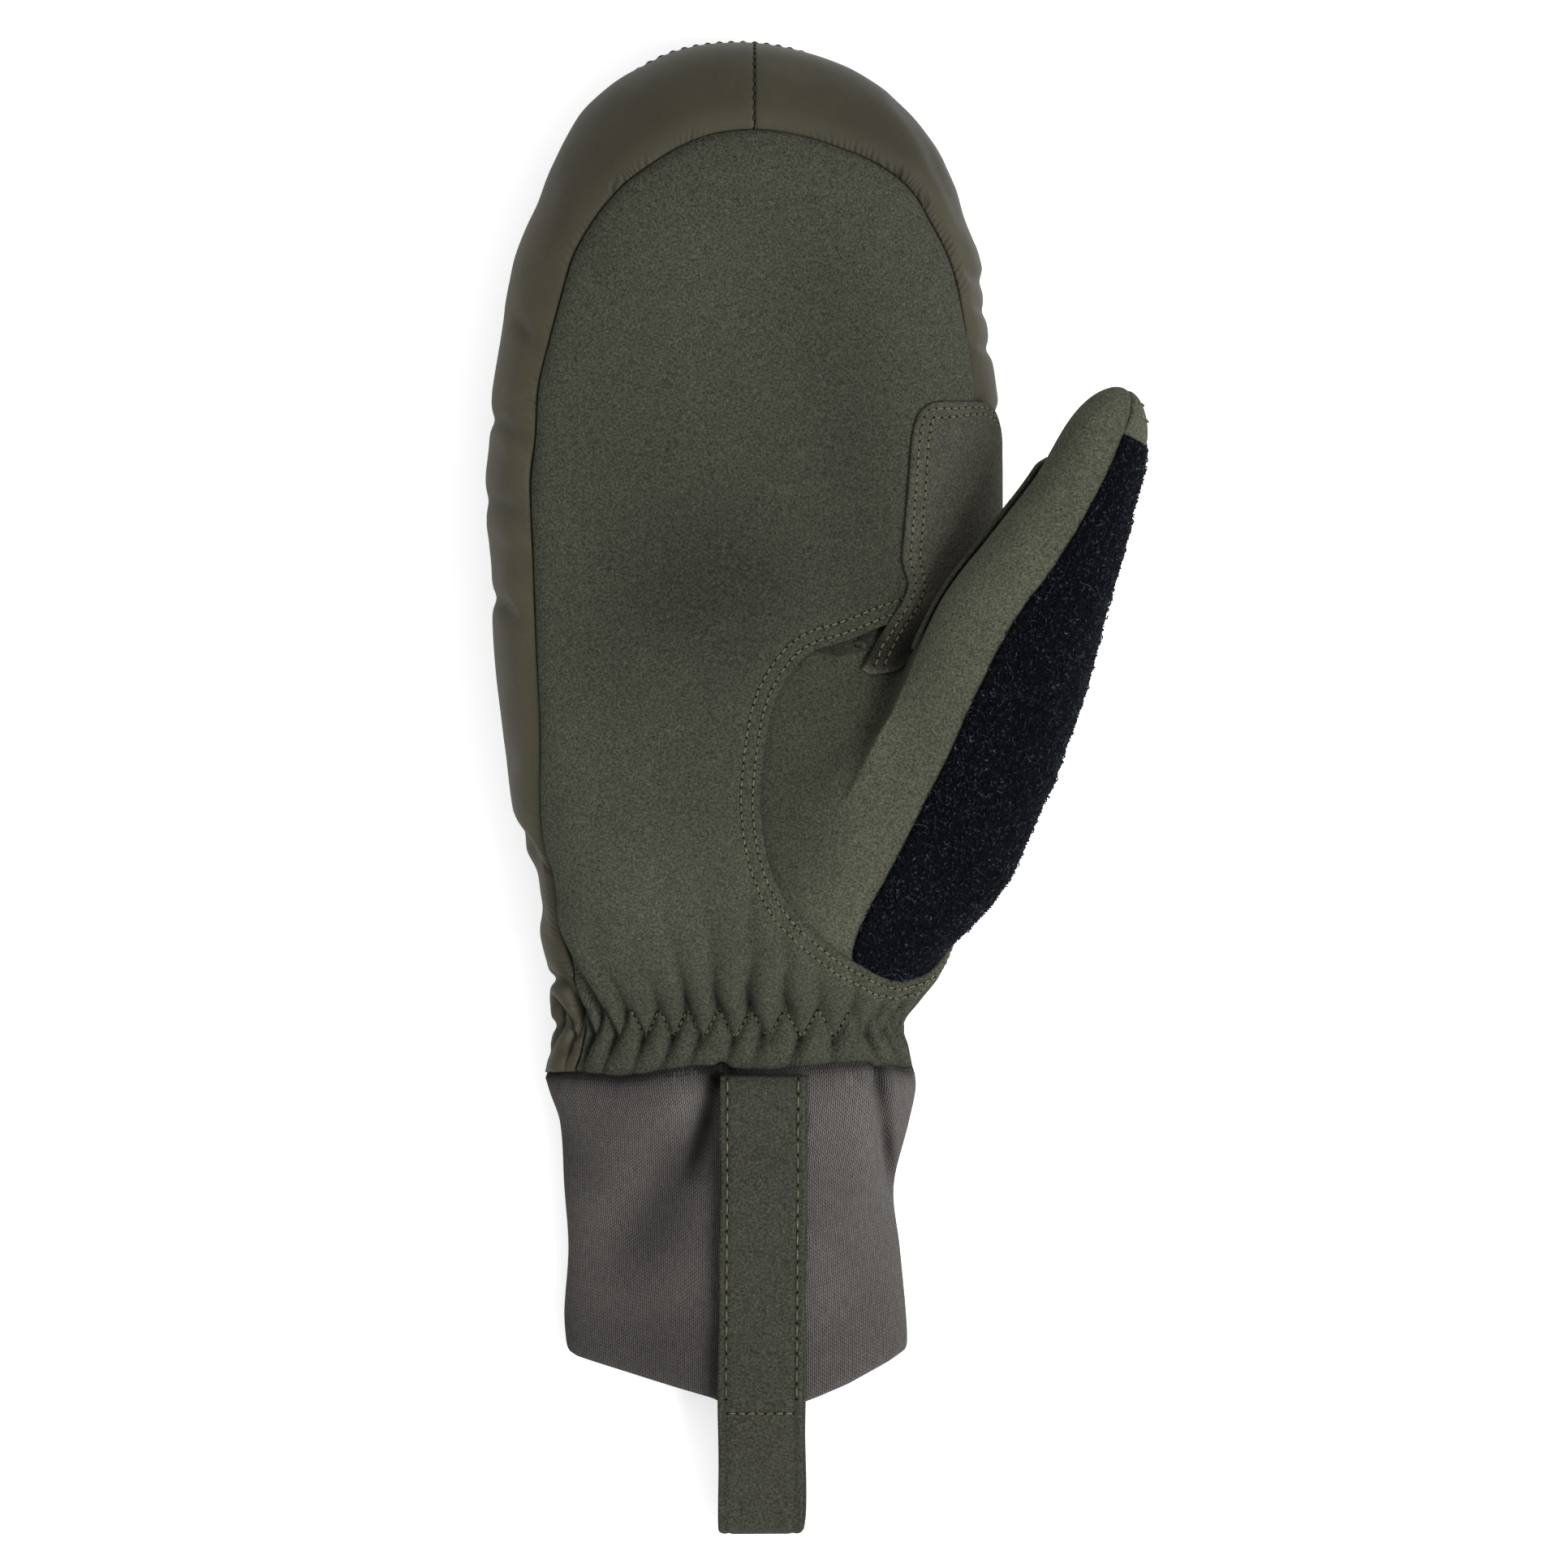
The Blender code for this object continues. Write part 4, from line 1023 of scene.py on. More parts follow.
def offsetFromHole(distance):
    # the hole's edge moved outward over the palm
    ahead = np.roll(holeEdge, -3, axis=0) - np.roll(holeEdge, 3, axis=0)
    step = 0.004
    over = bodyPoint(1, holeAlong + step, holeWay) - bodyPoint(1, holeAlong - step, holeWay)
    roundIt = bodyPoint(1, holeAlong, holeWay + step) - bodyPoint(1, holeAlong, holeWay - step)
    normal = unit(np.cross(over, roundIt))
    outward = unit(np.cross(ahead, normal))
    centre = holeEdge.mean(0)
    if ((holeEdge - centre) * outward).sum() < 0:
        outward = -outward
    return holeEdge + outward * distance


holeInner = offsetFromHole(rowsRound["inner"])
holeOuter = offsetFromHole(rowsRound["outer"])


# Palm

palm = {
    "grid": (156, 290),
    "wall": 0.0010,
    "spread": 1.30,
    "rollEdge": 0.00035,
}

palmFolds = inMillimetres((
    (-40, -60, -10, -88, 0.5, 10),
    (-30, 30, 12, -12, 0.4, 16),
    (-2, 62, 24, 20, 0.3, 14),
    (-45, -92, -37, -110, 0.8, 2.2),
    (-40, -84, -30, -106, 0.5, 3.0),
))


# painted shade, and painted light where the amount is below 0, over the palm: x, y, reach across, reach
# along, amount in thousandths
palmShadeSpots = inMillimetres((
    (-12, -14, 30, 22, 0.36),
    (18, 42, 14, 22, 0.20),
    (22, 10, 12, 20, 0.18),
    (-18, 52, 16, 16, -0.02),
    (-26, -84, 22, 18, -0.26),
    (-44, -10, 9, 60, -0.22),
    (-8, -60, 10, 24, 0.08),
    (27, -14, 10, 22, 0.18),
    (-8, -112, 40, 11, 0.13),
))


def spreadOut(u):
    across = 2 * np.asarray(u) - 1
    return np.sign(across) * np.abs(across) ** palm["spread"]


def palmSurface(u, w):
    point = panelPoint(spreadOut(u), w, 1.0, palmEdge)
    lift = hemLift(point, 0.007)
    return point + stack(0, lift, 0)


def palmRelief(u, w, point, normal):
    toSeam = nearLine(point, palmSeam)
    border = (u < onEdge) | (u > 1 - onEdge)
    facing = smooth(normal[..., 2] / 0.5)
    toRow = np.minimum(nearLine(point, holeInner), nearLine(point, holeOuter))
    hem = point[..., 1] - seamY - hemLift(point, 0.007)
    depth = (seamDip(toSeam) + 0.0005 * fadeOut(toSeam, 0.004) + np.where(border, seams["tuck"], 0)
             + np.where(w < onEdge, seams["hemTuck"] * facing, 0)
             + foldDepth(point, palmFolds) * smooth(normal[..., 2])
             + palm["rollEdge"] * fadeOut(nearLine(point, holeEdge), 0.0012)
             + rowsRound["groove"] * bell(toRow, rowsRound["width"])
             + hemDip(facing, hem))
    return swellOf("palm", point) - depth + gatherRelief(point, normal)


def palmShade(u, w, point):
    toSeam = nearLine(point, palmSeam)
    toHole = nearLine(point, holeEdge)
    # painted shade along the rolled lower edge, then painted shade and painted light in spots
    paintedShadeAndLight = 0.5 * fadeOut(w * body["length"] / body["panelStraight"], 0.0010)
    for x, y, reachX, reachY, amount in palmShadeSpots:
        away = ((point[..., 0] - x) / reachX) ** 2 + ((point[..., 1] - y) / reachY) ** 2
        paintedShadeAndLight = paintedShadeAndLight + 1000 * amount * np.exp(-away)
    # painted shade in the creases of the gathers
    near = point[..., 1] < gather["rowY"] + 0.03
    paintedShadeAndLight = paintedShadeAndLight + np.where(near, 0.66 * gatherParts(point)[1], 0)
    return paintedShadeAndLight + toneBy("palmSeam", toSeam) + toneBy("palmHole", toHole)


def palmHole():
    rim = bodyRow("palmRight", holeAlong)
    share = ((1 - holeWay) / (1 - rim)) ** (1 / palm["spread"])
    return np.stack([0.5 + 0.5 * share, holeAlong * body["panelStraight"]], axis=-1)


bodyCore = (0, 0, body["edgeShare"] * body["height"])
makePiece("palm_panel_look", palmSurface, bodyCore, palm["grid"], "palm", ["palm_panel"],
          relief=palmRelief, wall=palm["wall"], shade=palmShade, hole=palmHole())
print("palm made")


# Padded shell

shellFolds = inMillimetres((
    (-52.9, 44.5, -49.0, 37.8, 1.1, 1.7),
    (-58.8, 22.9, -52.0, 18.0, 1.6, 1.8),
    (-55.4, 28.4, -50.4, 26.8, -0.6, 2.0),
    (-56.2, 20.3, -50.4, 11.5, -0.6, 2.2),
    (-60.0, 5.0, -51.5, 1.0, 1.0, 2.0),
    (-59.4, -0.5, -50.4, -6.1, -0.7, 2.2),
    (-55.4, -12.1, -51.3, -19.3, -0.6, 2.2),
    (-59.0, -16.0, -52.5, -22.5, 1.5, 1.6),
    (-53.8, -66.2, -47.3, -77.2, 1.8, 0.9),
    (-50.5, -80.0, -46.5, -90.0, 0.9, 1.7),
    (-49.5, -101.2, -40.1, -103.2, 1.4, 1.3),
    (-48.5, -113.2, -38.0, -111.0, 1.0, 1.3),
    (-46.0, -118.5, -39.5, -117.5, 0.8, 1.2),
    (26.6, 93.6, 40.3, 79.9, -0.5, 2.2),
    (30.5, 93.0, 43.0, 75.0, 0.5, 1.6),
    (33.1, 86.4, 45.9, 63.7, -0.5, 2.2),
    (38.5, 79.5, 47.8, 62.0, 0.6, 1.6),
    (40.3, 67.0, 49.1, 43.2, -0.5, 2.0),
    (52.0, 51.5, 45.6, 56.0, 0.8, 1.6),
    (53.5, 44.5, 48.0, 48.0, 0.6, 1.4),
    (55.5, 36.5, 49.0, 39.0, 0.9, 1.6),
    (56.5, 22.0, 50.0, 26.0, 0.9, 1.5),
))

# places where the seam puckers: x, y, reach and strength
puckerSpots = np.array((
    (0.0290, 0.0760, 0.0150, 1.0),
    (0.0430, 0.0580, 0.0130, 0.7),
    (-0.0288, 0.0758, 0.0080, 0.5),
    (-0.0153, 0.0839, 0.0050, 0.5),
    (-0.0445, 0.0600, 0.0120, 0.35),
    (-0.0500, 0.0200, 0.0250, 0.35),
    (-0.0480, -0.0900, 0.0250, 0.8),
))

shellSizes = {"grid": (860, 46), "backGrid": (100, 190), "wall": 0.0030, "ends": 1.4999, "rimLength": 0.264,
              "pucker": 0.0013, "puckerPitch": 0.0015, "lipFrom": 122.0, "lipTo": 73.0, "lip": 0.0008,
              "ripple": 0.00028, "lipPitch": 0.0026}


def puckerCrease(place, toPalm):
    # short slanted creases beside the seam, unevenly strong
    slid = place - 0.75 * toPalm
    beat = rowNoise(place, 0.004, 7)
    wave = np.cos(np.pi * slid / shellSizes["puckerPitch"] + 3.2 * beat) ** 4
    strong = 0.30 + 2.2 * np.clip(rowNoise(slid, 0.0023, 21) - 0.02, 0, 1)
    return wave * strong * bell(toPalm, 0.0020)


def puckerAt(point):
    total = np.zeros(point.shape[:-1])
    for x, y, reach, strength in puckerSpots:
        away = ((point[..., 0] - x) ** 2 + (point[..., 1] - y) ** 2) / reach ** 2
        total = np.maximum(total, strength * np.exp(-away))
    return total


def lipSurface(u, w):
    # the back's seam edge, which shows beyond the tip as a small rippled lip
    angle = shellSizes["lipFrom"] + (shellSizes["lipTo"] - shellSizes["lipFrom"]) * np.asarray(u)
    x, y = tipSpoke(angle)
    outward = unit(stack(x, y * 1.1, 0 * x))
    ends = np.sin(np.pi * np.clip(u, 0, 1)) ** 0.35
    ripple = shellSizes["ripple"] * np.cos(2 * np.pi * x / shellSizes["lipPitch"])
    out = -0.0030 + (0.0030 + ends * (shellSizes["lip"] + ripple)) * np.asarray(w)
    return stack(x, tipCentreY + y, 0.0095 - 0.0015 * np.asarray(w)) + outward * out[..., None]


def wallSurface(side):
    def surface(u, w):
        run = np.asarray(u) * shellSizes["ends"]
        w = 1 - (1 - np.asarray(w)) ** 1.5
        run = run if side < 0 else 3 - run
        low = backEdge(run)
        high = palmEdge(run)
        return rimPoint(run, low + (high - low) * w)
    return surface


def toMiddle(u):
    # the distance to the seam between the two walls at the tip
    return (1 - u) * shellSizes["rimLength"]


def placeAlong(side, u):
    # the length along the palm's seam from the cuff
    seamRun = np.linspace(0, 1.5, 800) if side < 0 else np.linspace(3, 1.5, 800)
    seamLine = rimPoint(seamRun, palmEdge(seamRun))
    return np.interp(u * shellSizes["ends"], np.linspace(0, 1.5, 800), lengthAlong(seamLine))


def wallRelief(side):
    def relief(u, w, point, normal):
        place = placeAlong(side, u)
        toPalm = nearLine(point, palmSeam)
        toBack = nearLine(point, backSeam)
        facing = smooth(normal[..., 2] / 0.5)
        border = (w > 1 - onEdge) | (w < onEdge)
        crease = puckerCrease(place, toPalm) - 0.25 * bell(toPalm, 0.0024)
        backWave = np.cos(2 * np.pi * (place + 0.6 * toBack) / 0.0047 + 3.5 * rowNoise(place, 0.004, 7))
        depth = (seamDip(toPalm, *dips["shellPalm"]) + seamDip(toBack, *dips["shellBack"])
                 + np.where(border, seams["tuck"], 0) + np.where(u > 1 - onEdge, 0.00025, 0)
                 + np.where(u < onEdge, seams["hemTuck"] * facing, 0)
                 + seamDip(toMiddle(u), *dips["shellMiddle"])
                 + foldDepth(point, shellFolds) + shellSizes["pucker"] * puckerAt(point) * crease
                 + 0.00006 * fadeOut(toBack, 0.0035) * backWave + hemDip(facing, point[..., 1] - seamY))
        middle = np.sin(np.pi * np.clip(w, 0, 1)) ** 0.7
        return (swellOf("shell", point) + 0.0002) * middle - depth + 0.6 * gatherRelief(point, normal)
    return relief


def wallShade(side):
    def shade(u, w, point):
        toPalm = nearLine(point, palmSeam)
        toBack = nearLine(point, backSeam)
        x = point[..., 0]
        atTip = smooth((point[..., 1] - 0.055) / 0.02)
        # painted shade on the tip's top, most on the thumb side, painted light in a band beside the palm
        # seam and on the little-finger side, painted shade in the folds and painted light on their ridges
        broad = (0.32 * bell(x - 0.031, 0.016) * atTip + 0.08 * bell(x + 0.022, 0.016) * atTip
                 - 0.16 * bell(toPalm - 0.0030, 0.0022) - 0.30 * smooth((-0.042 - x) / 0.008)
                 + 0.28 * np.clip(foldDepth(point, shellFolds) / 0.0013, -0.5, 1))
        # painted shade in the puckers' creases
        crease = 0.75 * puckerCrease(placeAlong(side, u), toPalm) * puckerAt(point)
        return (toneBy("shellPalm", toPalm) + toneBy("shellBack", toBack) + broad + crease
                + toneBy("shellMiddle", toMiddle(u)))
    return shade


def backSurface(u, w):
    return panelPoint(spreadOut(u), w, 0.0, backEdge)


def backRelief(u, w, point, normal):
    toBack = nearLine(point, backSeam)
    depth = seamDip(toBack, *dips["shellBack"])
    border = (u < onEdge) | (u > 1 - onEdge) | (w < onEdge)
    depth = depth + np.where(border, seams["tuck"], 0)
    soft = swellOf("back", point) - swells["back"][0][0]
    lifted = smooth((point[..., 2] - 0.0001) / 0.003)
    gathers = 0.0007 * bell(point[..., 1] - gather["rowY"], 0.012)
    wave = np.abs(np.cos(np.pi * gatherPhase(point[..., 0]))) - 0.9
    return soft * lifted - depth + gathers * wave


for side, name in ((-1, "side_wall_outer"), (1, "side_wall_thumb")):
    makePiece(name + "_look", wallSurface(side), bodyCore, shellSizes["grid"], "shell", [name],
              relief=wallRelief(side), wall=shellSizes["wall"], shade=wallShade(side))
# painted shade beside the back seam, and painted shade on the lip below the rim, lessening towards its outer
# edge
makePiece("back_panel_look", backSurface, bodyCore, shellSizes["backGrid"], "shell", ["back_panel"],
          relief=backRelief, wall=shellSizes["wall"],
          shade=lambda u, w, p: toneBy("shellBack", nearLine(p, backSeam)))
makePiece("tip_lip", lipSurface, (0, tipCentreY, -0.05), (160, 6), "shell", [], wall=0.0007,
          shade=lambda u, w, p: 0.25 - 0.1 * w)
print("shell made")


# Patch over the forefinger side, with its tongue in the crotch

patch = {
    "lift": 0.0012,
    "wall": 0.0010,
    "outer": 0.455,
    "sink": 0.0024,
    "inner": 0.0017,
    "outerRow": 0.0036,
    "width": 0.043,
    "length": 0.060,
    "grid": (80, 110),
}

# its left edge: the place along the body and the distance across, in millimetres
patchEdgeRows = (
    ("along", "across"),
    ((0.480, 22.0), (0.499, 23.8), (0.521, 25.9), (0.5596, 29.6), (0.583, 32.2), (0.605, 33.6),
     (0.621, 32.9), (0.636, 32.3), (0.6725, 32.8), (0.731, 33.7), (0.782, 34.4), (0.8055, 35.2),
     (0.819, 36.4), (0.828, 38.4), (0.8315, 41.0), (0.840, 46.0)))

# its lower end: the share across and the place along the body
patchFootRows = (
    ("share", "along"),
    ((0.00, 0.500), (0.05, 0.4945), (0.14, 0.498), (0.18, 0.507), (0.21, 0.518), (0.235, 0.529),
     (0.33, 0.570), (0.50, 0.600), (1.00, 0.600)))


def wayAcross(along, x):
    # the way round the section at a distance across its upper side
    wide = bodyRow("right", along) * halfWidth
    fullness = bodyRow("fullRight", along)
    reach = np.clip(x / wide, 0, 1)
    return 1 - np.arcsin(reach ** (fullness / 2)) / np.pi


def patchSurface(u, w):
    low = readTable(patchFootRows, "along", np.clip(u, 0, 1))
    high = 0.8318 - 0.046 * smooth((u - 0.36) / 0.60) ** 1.6
    along = low + (high - low) * w
    edge = wayAcross(along, readTable(patchEdgeRows, "across", along) / 1000)
    return bodyPoint(1, along, edge + (patch["outer"] - edge) * u)


def toPatchEdge(u, w):
    return np.minimum(u * patch["width"], (1 - w) * patch["length"])


def patchRelief(u, w, point, normal):
    along = (point[..., 1] - seamY) / body["length"]
    inward = toPatchEdge(u, w)
    rim = np.minimum(inward, w * patch["length"])
    foot = smooth((0.585 - along) / 0.07)
    rows = np.minimum(np.abs(inward - patch["inner"]), np.abs(inward - patch["outerRow"]))
    groove = 0.00025 * bell(rows, 0.0006)
    edge = 0.0004 * fadeOut(rim, 0.0005)
    return patch["lift"] - patch["sink"] * foot - groove - edge + swellOf("patch", point)


def patchShade(u, w, point):
    # painted shade on the tongue in the crotch and a painted highlight along its cut lower edge; the band
    # between the stitch rows is made a little lighter
    foot = smooth((0.60 - (point[..., 1] - seamY) / body["length"]) / 0.08)
    cutEdge = fadeOut(w * patch["length"], 0.0007)
    topBand = bell(toPatchEdge(u, w) - 0.0026, 0.0012)
    return 0.72 * foot - 1.6 * cutEdge - 0.08 * topBand


makePiece("index_patch_look", patchSurface, bodyCore, patch["grid"], "patch", ["index_patch"],
          relief=patchRelief, wall=patch["wall"], shade=patchShade)


# Thumb: its suede front, terry outer side, cap and the strip up its inner side

thumbFolds = inMillimetres(((36, -30, 28, -60, 0.5, 6.0),))
recess = {"x": (10.0, 12.2, 15.0, 18.7, 23.8, 30.0, 38.0),
          "y": (-29.0, -29.4, -29.9, -30.9, -33.7, -36.0, -35.0), "depth": 0.0013}


# the front's inner edge in plan, and how far the gusset lies below it, in millimetres
ridge = inMillimetres((
    (18.9, -64.8, 0.0), (23.4, -55.8, 1.0), (27.4, -47.9, 3.0), (29.9, -43.9, 4.6), (33.5, -35.8, 7.2),
    (36.4, -28.3, 8.4), (41.9, -16.6, 3.0), (46.1, -10.1, 1.0), (53.1, 0.0, 0.0)))


def besideRidge(point):
    return (np.interp(point[..., 1], ridge[:, 1], ridge[:, 0]) - point[..., 0]) * 0.88


def thumbSurface(u, w):
    start = terryTurn(w)
    end = 360 + thumb["backTurn"]
    point = thumbPoint(start + (end - start) * warpAcross(u), w)
    beside = besideRidge(point)
    drop = np.interp(point[..., 1], ridge[:, 1], ridge[:, 2], left=0, right=0)
    upper = smooth((point[..., 2] - 0.026) / 0.006)
    reach = np.interp(point[..., 1], (-0.052, -0.036), (0.0100, 0.0052))
    drop = drop * smooth(beside / 0.0014) * bell(np.clip(beside, 0, None), reach) * upper
    return point - stack(0, 0, drop)


capStart = 1 - thumb["capLength"] / thumb["length"]


def outerSide(u, at):
    return thumbPoint(thumb["backTurn"] + (terryTurn(at) - thumb["backTurn"]) * u, at)


def terrySurface(u, w):
    return outerSide(u, w * capStart)


def capSurface(u, w):
    return outerSide(u, capStart + (0.9990 - capStart) * w)


def underPalm(surface, turnAt, reach, more=0.0, end=1.0):
    # carries the root row out along the body, under the palm's edge
    ahead = np.roll(thumbRim, -4, axis=0) - np.roll(thumbRim, 4, axis=0)
    ahead[:4] = ahead[-4:] = thumbRim[4] - thumbRim[-5]
    inner = unit(np.cross(ahead, openingPoint(turns, 0.001) - thumbRim))
    if ((thumbRim - thumbRim.mean(0)) * inner).sum() < 0:
        inner = -inner

    def surfaceOut(u, w):
        point = surface(u, np.asarray(w) * end)
        turn = turnAt(np.asarray(u)) % 360
        out = np.stack([np.interp(turn, turns, inner[:, k]) for k in range(3)], axis=-1)
        far = reach + more * smooth((turn - 195) / 20) * smooth((300 - turn) / 30)
        root = openingPoint(turn, 0.0024) + out * far[..., None]
        return np.where((np.asarray(w) < onEdge)[..., None], root, point)
    return surfaceOut


def warpAcross(u):
    return np.interp(u, (0, 0.2, 0.6, 1), (0, 0.25, 0.48, 1))


terryStart = float(terryTurn(0.0))


def frontTurn(u):
    return terryStart + (360 + thumb["backTurn"] - terryStart) * warpAcross(u)


def terryRootTurn(u):
    return thumb["backTurn"] + (terryStart - thumb["backTurn"]) * u


terrySeam = thumbPoint(terryTurn(np.linspace(0, 1, 500)), np.linspace(0, 1, 500))
backThumbSeam = thumbPoint(np.full(500, 360.0 + thumb["backTurn"]), np.linspace(0, 1, 500))


def inRecess(w, point):
    # where the recess beside the tongue is, and the distance past its crest
    x, y = point[..., 0], point[..., 1]
    crest = np.interp(x, inMillimetres(recess["x"]), inMillimetres(recess["y"]))
    return (w < 0.12) & (x > 0.010) & (x < 0.040) & (y > -0.045), y - crest


def thumbRelief(u, w, point, normal):
    upper, past = inRecess(w, point)
    hollow = recess["depth"] * (smooth(past / 0.0009) - 0.25)
    depth = (seamDip(nearLine(point, terrySeam), *dips["thumbTerry"])
             + seamDip(nearLine(point, backThumbSeam), *dips["thumbBack"])
             + np.where(upper & (point[..., 2] > 0.02), hollow, 0)
             + foldDepth(point, thumbFolds) * smooth(normal[..., 2]))
    return swellOf("thumb", point) - depth


def thumbShade(u, w, point):
    x, y = point[..., 0], point[..., 1]
    upper, past = inRecess(w, point)
    # painted shade in the recess, turning to painted light on its thumb side, painted shade on the gusset
    # that faces away from the light, and painted light on the front beside the ridge
    hollow = np.where(upper, (0.20 - 0.34 * smooth((x - 0.018) / 0.010)) * smooth(past / 0.0008), 0)
    beside = besideRidge(point)
    soft = 0.0012 + 0.020 * smooth((-0.045 - y) / 0.020)
    gusset = 0.47 * smooth((beside + 0.40 * soft) / soft) * smooth((y + 0.104) / 0.03)
    front = np.where(beside < 0, 0.24 * bell(beside, 0.0060), 0) * smooth((y + 0.070) / 0.02)
    return (toneBy("thumbTerry", nearLine(point, terrySeam))
            + toneBy("thumbHole", nearLine(point, holeEdge)) + (hollow - front) + gusset)


def toTerryEdge(point):
    return np.minimum(nearLine(point, terrySeam), nearLine(point, backThumbSeam))


def terryRelief(u, w, point, normal):
    return 0.0002 - seamDip(toTerryEdge(point), *dips["terry"]) + swellOf("terry", point)


def capRelief(u, w, point, normal):
    fromStart = seamDip(w * thumb["capLength"], *dips["capStart"])
    return -seamDip(toTerryEdge(point), *dips["cap"]) - fromStart


strip = {"turn": 172, "spread": 36, "foot": 0.36, "run": 0.44, "lift": 0.0013, "wall": 0.0009}


def stripSurface(u, w):
    return thumbPoint(strip["turn"] + strip["spread"] * u, strip["foot"] + strip["run"] * w)


thumbCore = tuple(thumbCentre(np.array(0.5)))
thumbFront = underPalm(thumbSurface, frontTurn, 0.0035, 0.0060, 0.9985)
makePiece("thumb_panel_look", thumbFront, thumbCore, (200, 220), "thumb", ["thumb_panel"],
          relief=thumbRelief, wall=thumb["wall"], shade=thumbShade)
makePiece("thumb_terry_look", underPalm(terrySurface, terryRootTurn, 0.0025), thumbCore, (110, 200),
          "terry", ["thumb_terry"], relief=terryRelief, wall=thumb["terryWall"])
makePiece("thumb_tip_cap_look", capSurface, thumbCore, (40, 24), "thumb", ["thumb_tip_cap"],
          relief=capRelief, wall=thumb["wall"])
# the crotch strip carries painted shade with a painted highlight along its lit edge
makePiece("crotch_strip_look", stripSurface, tuple(thumbCentre(np.array(0.6))), (16, 60), "patch",
          ["crotch_strip"],
          relief=lambda u, w, p, n: np.full(u.shape, strip["lift"]), wall=strip["wall"],
          shade=lambda u, w, p: 0.30 - 0.5 * bell(u - 0.72, 0.06))
print("thumb made")


# Loops and loose fibres of the terry

pile = {"pitch": 0.00070, "size": 0.00048, "yarn": 0.34, "lean": 0.8, "fibres": 1100,
        "fibreLength": 0.0030, "fibreRadius": 0.000034}


def hookShape(thickness, degrees, steps):
    # a thin round thread, bent in an arc of radius 1
    bm = bmesh.new()
    ring = bmesh.ops.create_circle(bm, segments=3, radius=thickness)
    for vertex in ring["verts"]:
        vertex.co = Vector((1.0 + vertex.co.x, vertex.co.y, 0))
    bmesh.ops.spin(bm, geom=bm.verts[:] + bm.edges[:], angle=math.radians(degrees), steps=steps,
                   axis=(0, 1, 0), cent=(0, 0, 0), dvec=(0, 0, 0))
    bmesh.ops.recalc_face_normals(bm, faces=bm.faces)
    bm.verts.index_update()
    return bm


def randomAxes(dice, normal, count, lean):
    free = dice.normal(size=(count, 3))
    up = unit(normal + lean * free)
    side = unit(np.cross(up, dice.normal(size=(count, 3))))
    return side, np.cross(up, side), up


def buildPile():
    dice = np.random.default_rng(11)
    sign = outwardSign(terrySurface, thumbCore)
    uAt, across, wAt, ahead = realLengths(terrySurface, 60, 120)
    us = []
    ws = []
    for place in np.arange(0.0004, ahead[-1] - 0.0003, pile["pitch"]):
        w = np.interp(place, ahead, wAt)
        row = terrySurface(np.linspace(0, 1, 60), np.full(60, w))
        length = lengthAlong(row)
        count = max(int(length[-1] / pile["pitch"]), 3)
        at = (np.arange(count) + 0.5 + dice.uniform(-0.3, 0.3, count)) / count * length[-1]
        us.append(np.interp(at, length, np.linspace(0, 1, 60)))
        ws.append(np.clip(w + dice.uniform(-0.0012, 0.0012, count), 0.001, 0.999))
    u = np.concatenate(us)
    w = np.concatenate(ws)
    point, normal = layOn(terrySurface, terryRelief, sign, u, w)
    side, other, up = randomAxes(dice, normal, len(u), pile["lean"])
    size = pile["size"] * dice.uniform(0.75, 1.25, len(u))[:, None]
    axes = np.stack([side * size, other * size, up * size * 1.2], axis=1)
    bm = hookShape(pile["yarn"], 180, 3)
    half = len(u) // 2
    for label, some in (("lower", slice(0, half)), ("upper", slice(half, None))):
        mesh = repeatShape(bm, point[some] - normal[some] * 0.00008, axes[some])
        addPiece("terry_loops_" + label, mesh, looks["loops"])
        print("terry loops", label, len(mesh.polygons) * 2, "triangles")
    bm.free()
    # more of the loose fibres show along the outer edge
    weight = 0.05 + bell(normal[:, 2], 0.35)
    chosen = dice.choice(len(u), pile["fibres"], replace=False, p=weight / weight.sum())
    side, other, up = randomAxes(dice, normal[chosen], len(chosen), 0.9)
    size = pile["fibreLength"] * dice.uniform(0.4, 1.2, len(chosen))[:, None]
    axes = np.stack([side * size, other * size, up * size], axis=1)
    bm = hookShape(pile["fibreRadius"] / pile["fibreLength"], 70, 5)
    bmesh.ops.translate(bm, vec=(-1, 0, 0), verts=bm.verts)
    mesh = repeatShape(bm, point[chosen], axes)
    bm.free()
    addPiece("terry_fibres", mesh, looks["lint"])


buildPile()
print("terry pile made")


# Cuff

cuffSpread = 1.3
cuffFolds = inMillimetres((
    (-6.7, -122.4, -8.8, -126.0, 2.6, 2.0),
    (-8.8, -126.0, -14.6, -145.4, 2.2, 2.2),
    (-14.0, -123.0, -15.0, -134.0, -0.9, 3.2),
    (-12.0, -136.0, -28.0, -168.0, 1.1, 6.0),
    (-20.0, -130.0, -38.0, -160.0, -0.8, 6.0),
    (27.0, -121.3, 28.6, -130.3, 2.4, 1.6),
    (28.4, -130.3, 31.5, -149.0, 2.2, 1.4),
    (22.0, -128.0, 26.0, -150.0, -0.7, 3.4),
    (-46.0, -137.0, -30.0, -150.0, 0.5, 5.0),
    (12.0, -150.0, 32.0, -180.0, 0.4, 6.0),
))


# how far the hem is raised from its plain V: place across and lift
raisedHem = inMillimetres((
    (-43.0, 0.8), (-39.8, 0.2), (-30.0, 0.7), (-17.0, 1.3), (-9.5, 1.8), (-4.0, 1.2), (2.0, 0.0),
    (14.0, -0.8), (21.0, -0.9), (30.0, 0.0), (33.0, 0.6), (36.0, 1.1)))


